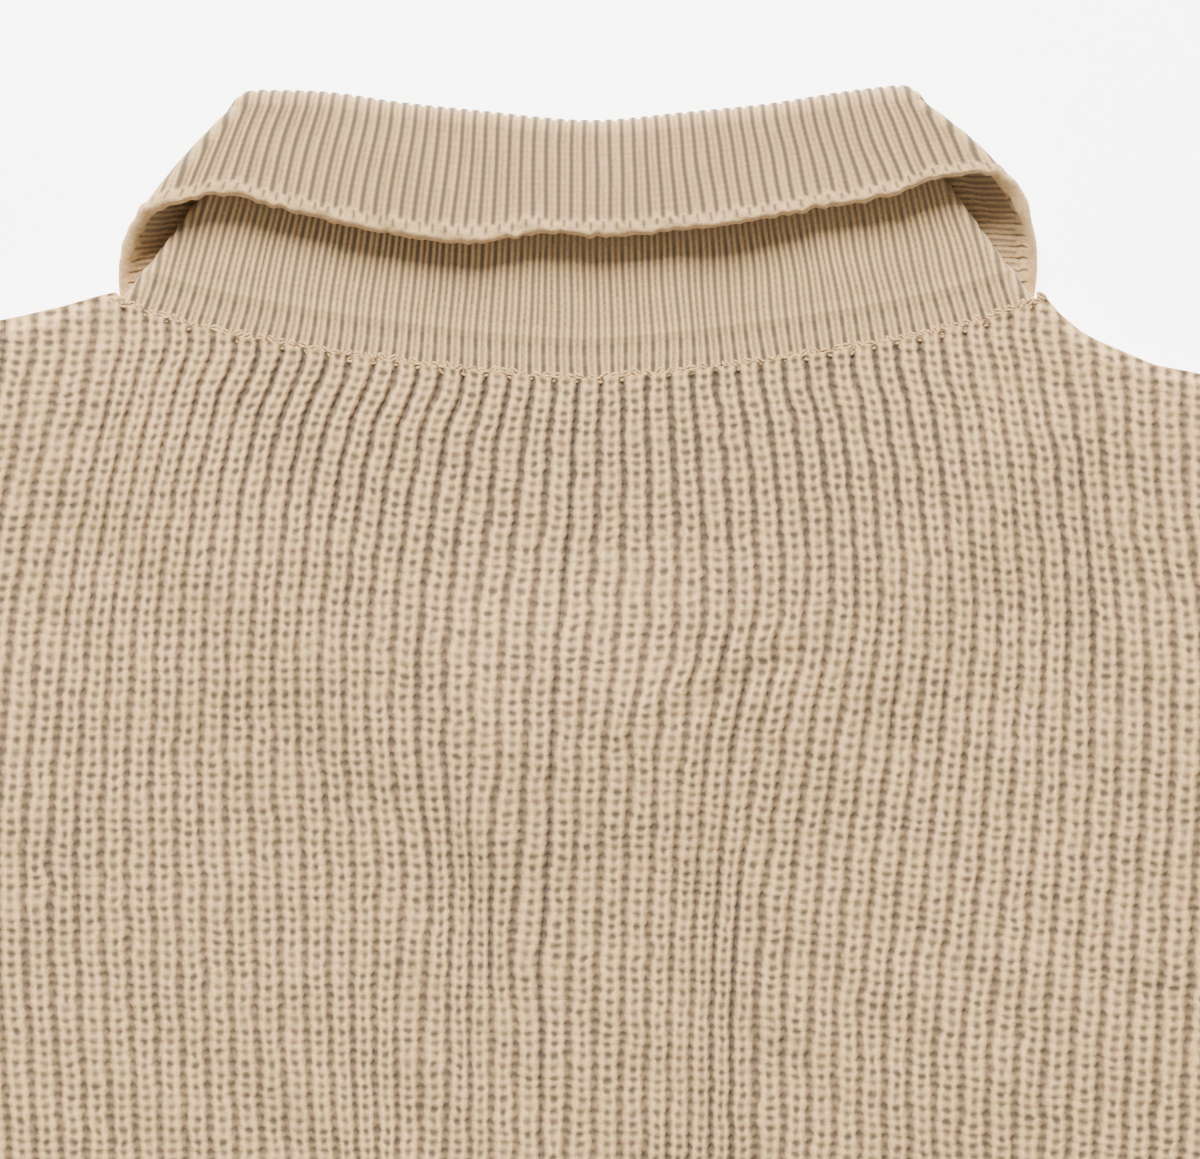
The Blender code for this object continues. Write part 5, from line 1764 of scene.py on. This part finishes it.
@dataclass(frozen=True)
class ButtonRow:
    """Six plain four-hole buttons, face down, sunk flush into the outer band."""

    count: int = 6
    radius: float = 10.0
    thickness: float = 2.3
    first_y: float = -95.0
    spacing: float = 100.0
    hole_radius: float = 1.0
    hole_offset: float = 1.9
    segments: int = 64
    # distance from the axis, height above the face's plane
    face_profile: tuple = (
        (0.0, 0.75), (2.0, 0.75), (4.8, 0.72), (6.0, 0.45), (7.0, 0.08), (8.2, 0.0), (9.3, 0.25),
        (10.0, 1.0),
    )

    def centre_y(self, number: int) -> float:
        """Where a button lies down the front."""
        return self.first_y - self.spacing * number

    def dimple(self, x: Array, y: Array) -> Array:
        """The height of the band's under face over the buttons, and 0 away from them."""
        total = np.zeros_like(x)
        for number in range(self.count):
            away = np.hypot(x, y - self.centre_y(number))
            rise = self.thickness + LAY.seam_gap
            total = np.maximum(total, rise * smooth((self.radius + 4.0 - away) / 3.2))
        return total

    def build(self, finishes: Finishes) -> None:
        """Makes each button: a turned face with four pits, a rounded rim and a flat back."""
        profile = np.array(self.face_profile)
        radii = np.concatenate((np.linspace(0.0, 4.8, 17), np.linspace(5.2, 10.0, 14)))
        face = through(self.face_profile, radii)
        turn = np.linspace(0.0, 2 * math.pi, self.segments, endpoint=False)
        angle, radius = np.meshgrid(turn, radii)
        x, y = radius * np.cos(angle), radius * np.sin(angle)
        z = np.broadcast_to(face[:, None], x.shape).copy()
        for hole_x in (-self.hole_offset, self.hole_offset):
            for hole_y in (-self.hole_offset, self.hole_offset):
                away = np.hypot(x - hole_x, y - hole_y)
                z += 1.0 * smooth((self.hole_radius + 0.25 - away) / 0.5)
        rim = np.array(((profile[-1, 0], 1.0), (10.0, 1.7), (9.7, 2.15), (9.2, 2.3), (0.0, 2.3)))
        back_x = rim[:, :1] * np.cos(turn)
        back_y = rim[:, :1] * np.sin(turn)
        back_z = rim[:, 1:] + 0.0 * turn
        rows = [np.stack((x, y, z), -1), np.stack((back_x, back_y, back_z), -1)[1:]]
        points = np.concatenate(rows)
        numbers = np.arange(points.shape[0] * self.segments).reshape(points.shape[:2])
        beside = np.roll(numbers, -1, 1)
        faces = np.stack((numbers[:-1], numbers[1:], beside[1:], beside[:-1]), -1).reshape(-1, 4)
        for number in range(self.count):
            name = f"button_{number + 1}"
            at = points.reshape(-1, 3) + (0.0, self.centre_y(number), 0.0)
            mesh = closed_mesh(name, LAY.row_frame(at), faces.tolist(), merge=1e-6)
            piece = place(name + "_turned", mesh, finishes.horn)
            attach(piece, BODY)
            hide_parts(name)


# ------------------------------------------------------------------ studio


@dataclass(frozen=True)
class Studio:
    """A pale floor, soft light from above the collar, and a camera straight over the photo's view."""

    lens: float = 250.0
    sensor: float = 36.0
    view_height: float = 9.0
    world: float = 0.42
    key_watts: float = 68.0
    fill_watts: float = 8.0
    floor_glow: float = 4.8
    floor_half: float = 3.0
    floor_z: float = -0.0002

    def floor(self) -> None:
        """Lays the floor."""
        half = self.floor_half
        corners = ((-half, -half), (half, -half), (half, half), (-half, half))
        points = [(x, y, self.floor_z) for x, y in corners]
        mesh = bpy.data.meshes.new("floor")
        mesh.from_pydata(points, [], [(0, 1, 2, 3)])
        paper = FinishTree("pale_floor")
        paper.shader.inputs["Base Color"].default_value = (0.86, 0.86, 0.86, 1.0)
        paper.shader.inputs["Emission Color"].default_value = (1.0, 1.0, 1.0, 1.0)
        paper.set(roughness=0.9, specular_ior_level=0.1, emission_strength=self.floor_glow)
        place("floor", mesh, paper.material)

    def lamp(self, name: str, at: tuple, aim: tuple, size: float, watts: float) -> None:
        """Hangs a soft square lamp that faces a point."""
        light = bpy.data.lights.new(name, "AREA")
        light.shape = "SQUARE"
        light.size = size
        light.energy = watts
        lamp = bpy.data.objects.new(name, light)
        lamp.location = at
        to = np.array(aim) - at
        away = math.atan2(math.hypot(to[0], to[1]), -to[2])
        lamp.rotation_euler = (away, 0.0, math.atan2(-to[0], to[1]))
        bpy.context.scene.collection.objects.link(lamp)

    def camera(self) -> None:
        """Sets the camera over the middle of the photo's frame."""
        centre_x = (IMAGE_WIDTH / 2 - NECK_SEAM_PIXEL[0]) * PIXEL
        centre_y = (NECK_SEAM_PIXEL[1] - IMAGE_HEIGHT / 2) * PIXEL
        data = bpy.data.cameras.new("photo_camera")
        data.lens = self.lens
        data.sensor_width = self.sensor
        distance = IMAGE_WIDTH * PIXEL * self.lens / self.sensor
        camera = bpy.data.objects.new("photo_camera", data)
        above = self.view_height + distance
        camera.location = tuple(LAY.row_frame(np.array((centre_x, centre_y, above))))
        data.clip_end = 50.0
        bpy.context.scene.collection.objects.link(camera)
        bpy.context.scene.camera = camera

    def build(self) -> None:
        """Sets up the floor, lights and camera."""
        self.floor()
        self.camera()
        world = bpy.data.worlds.new("soft_room")
        world.use_nodes = True
        sky = world.node_tree.nodes["Background"]
        sky.inputs["Color"].default_value = (1.0, 1.0, 1.0, 1.0)
        sky.inputs["Strength"].default_value = self.world
        bpy.context.scene.world = world
        aim = (0.0, 0.25, 0.0)
        self.lamp("key", (-0.15, 1.30, 0.86), aim, 0.55, self.key_watts)
        self.lamp("fill", (0.5, -0.5, 1.4), aim, 1.4, self.fill_watts)


def main() -> None:
    """Builds the cardigan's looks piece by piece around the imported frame."""
    logging.basicConfig(level=logging.INFO, format="%(name)s %(message)s")
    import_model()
    finishes = Finishes.make()
    BackPanel().build(finishes)
    CollarBand().build(finishes)
    LinkingChain.build_all(finishes)
    for side in (-1, 1):
        FrontPanel(side).build(finishes)
        SleeveTube(side).build(finishes)
    buttons = ButtonRow()
    ButtonBand("band_right", 0.0, LAY.outer_band, True).build(finishes, buttons)
    ButtonBand("band_left", LAY.band_step, LAY.inner_band, False).build(finishes, buttons)
    buttons.build(finishes)
    Studio().build()


if __name__ == "__main__":
    main()
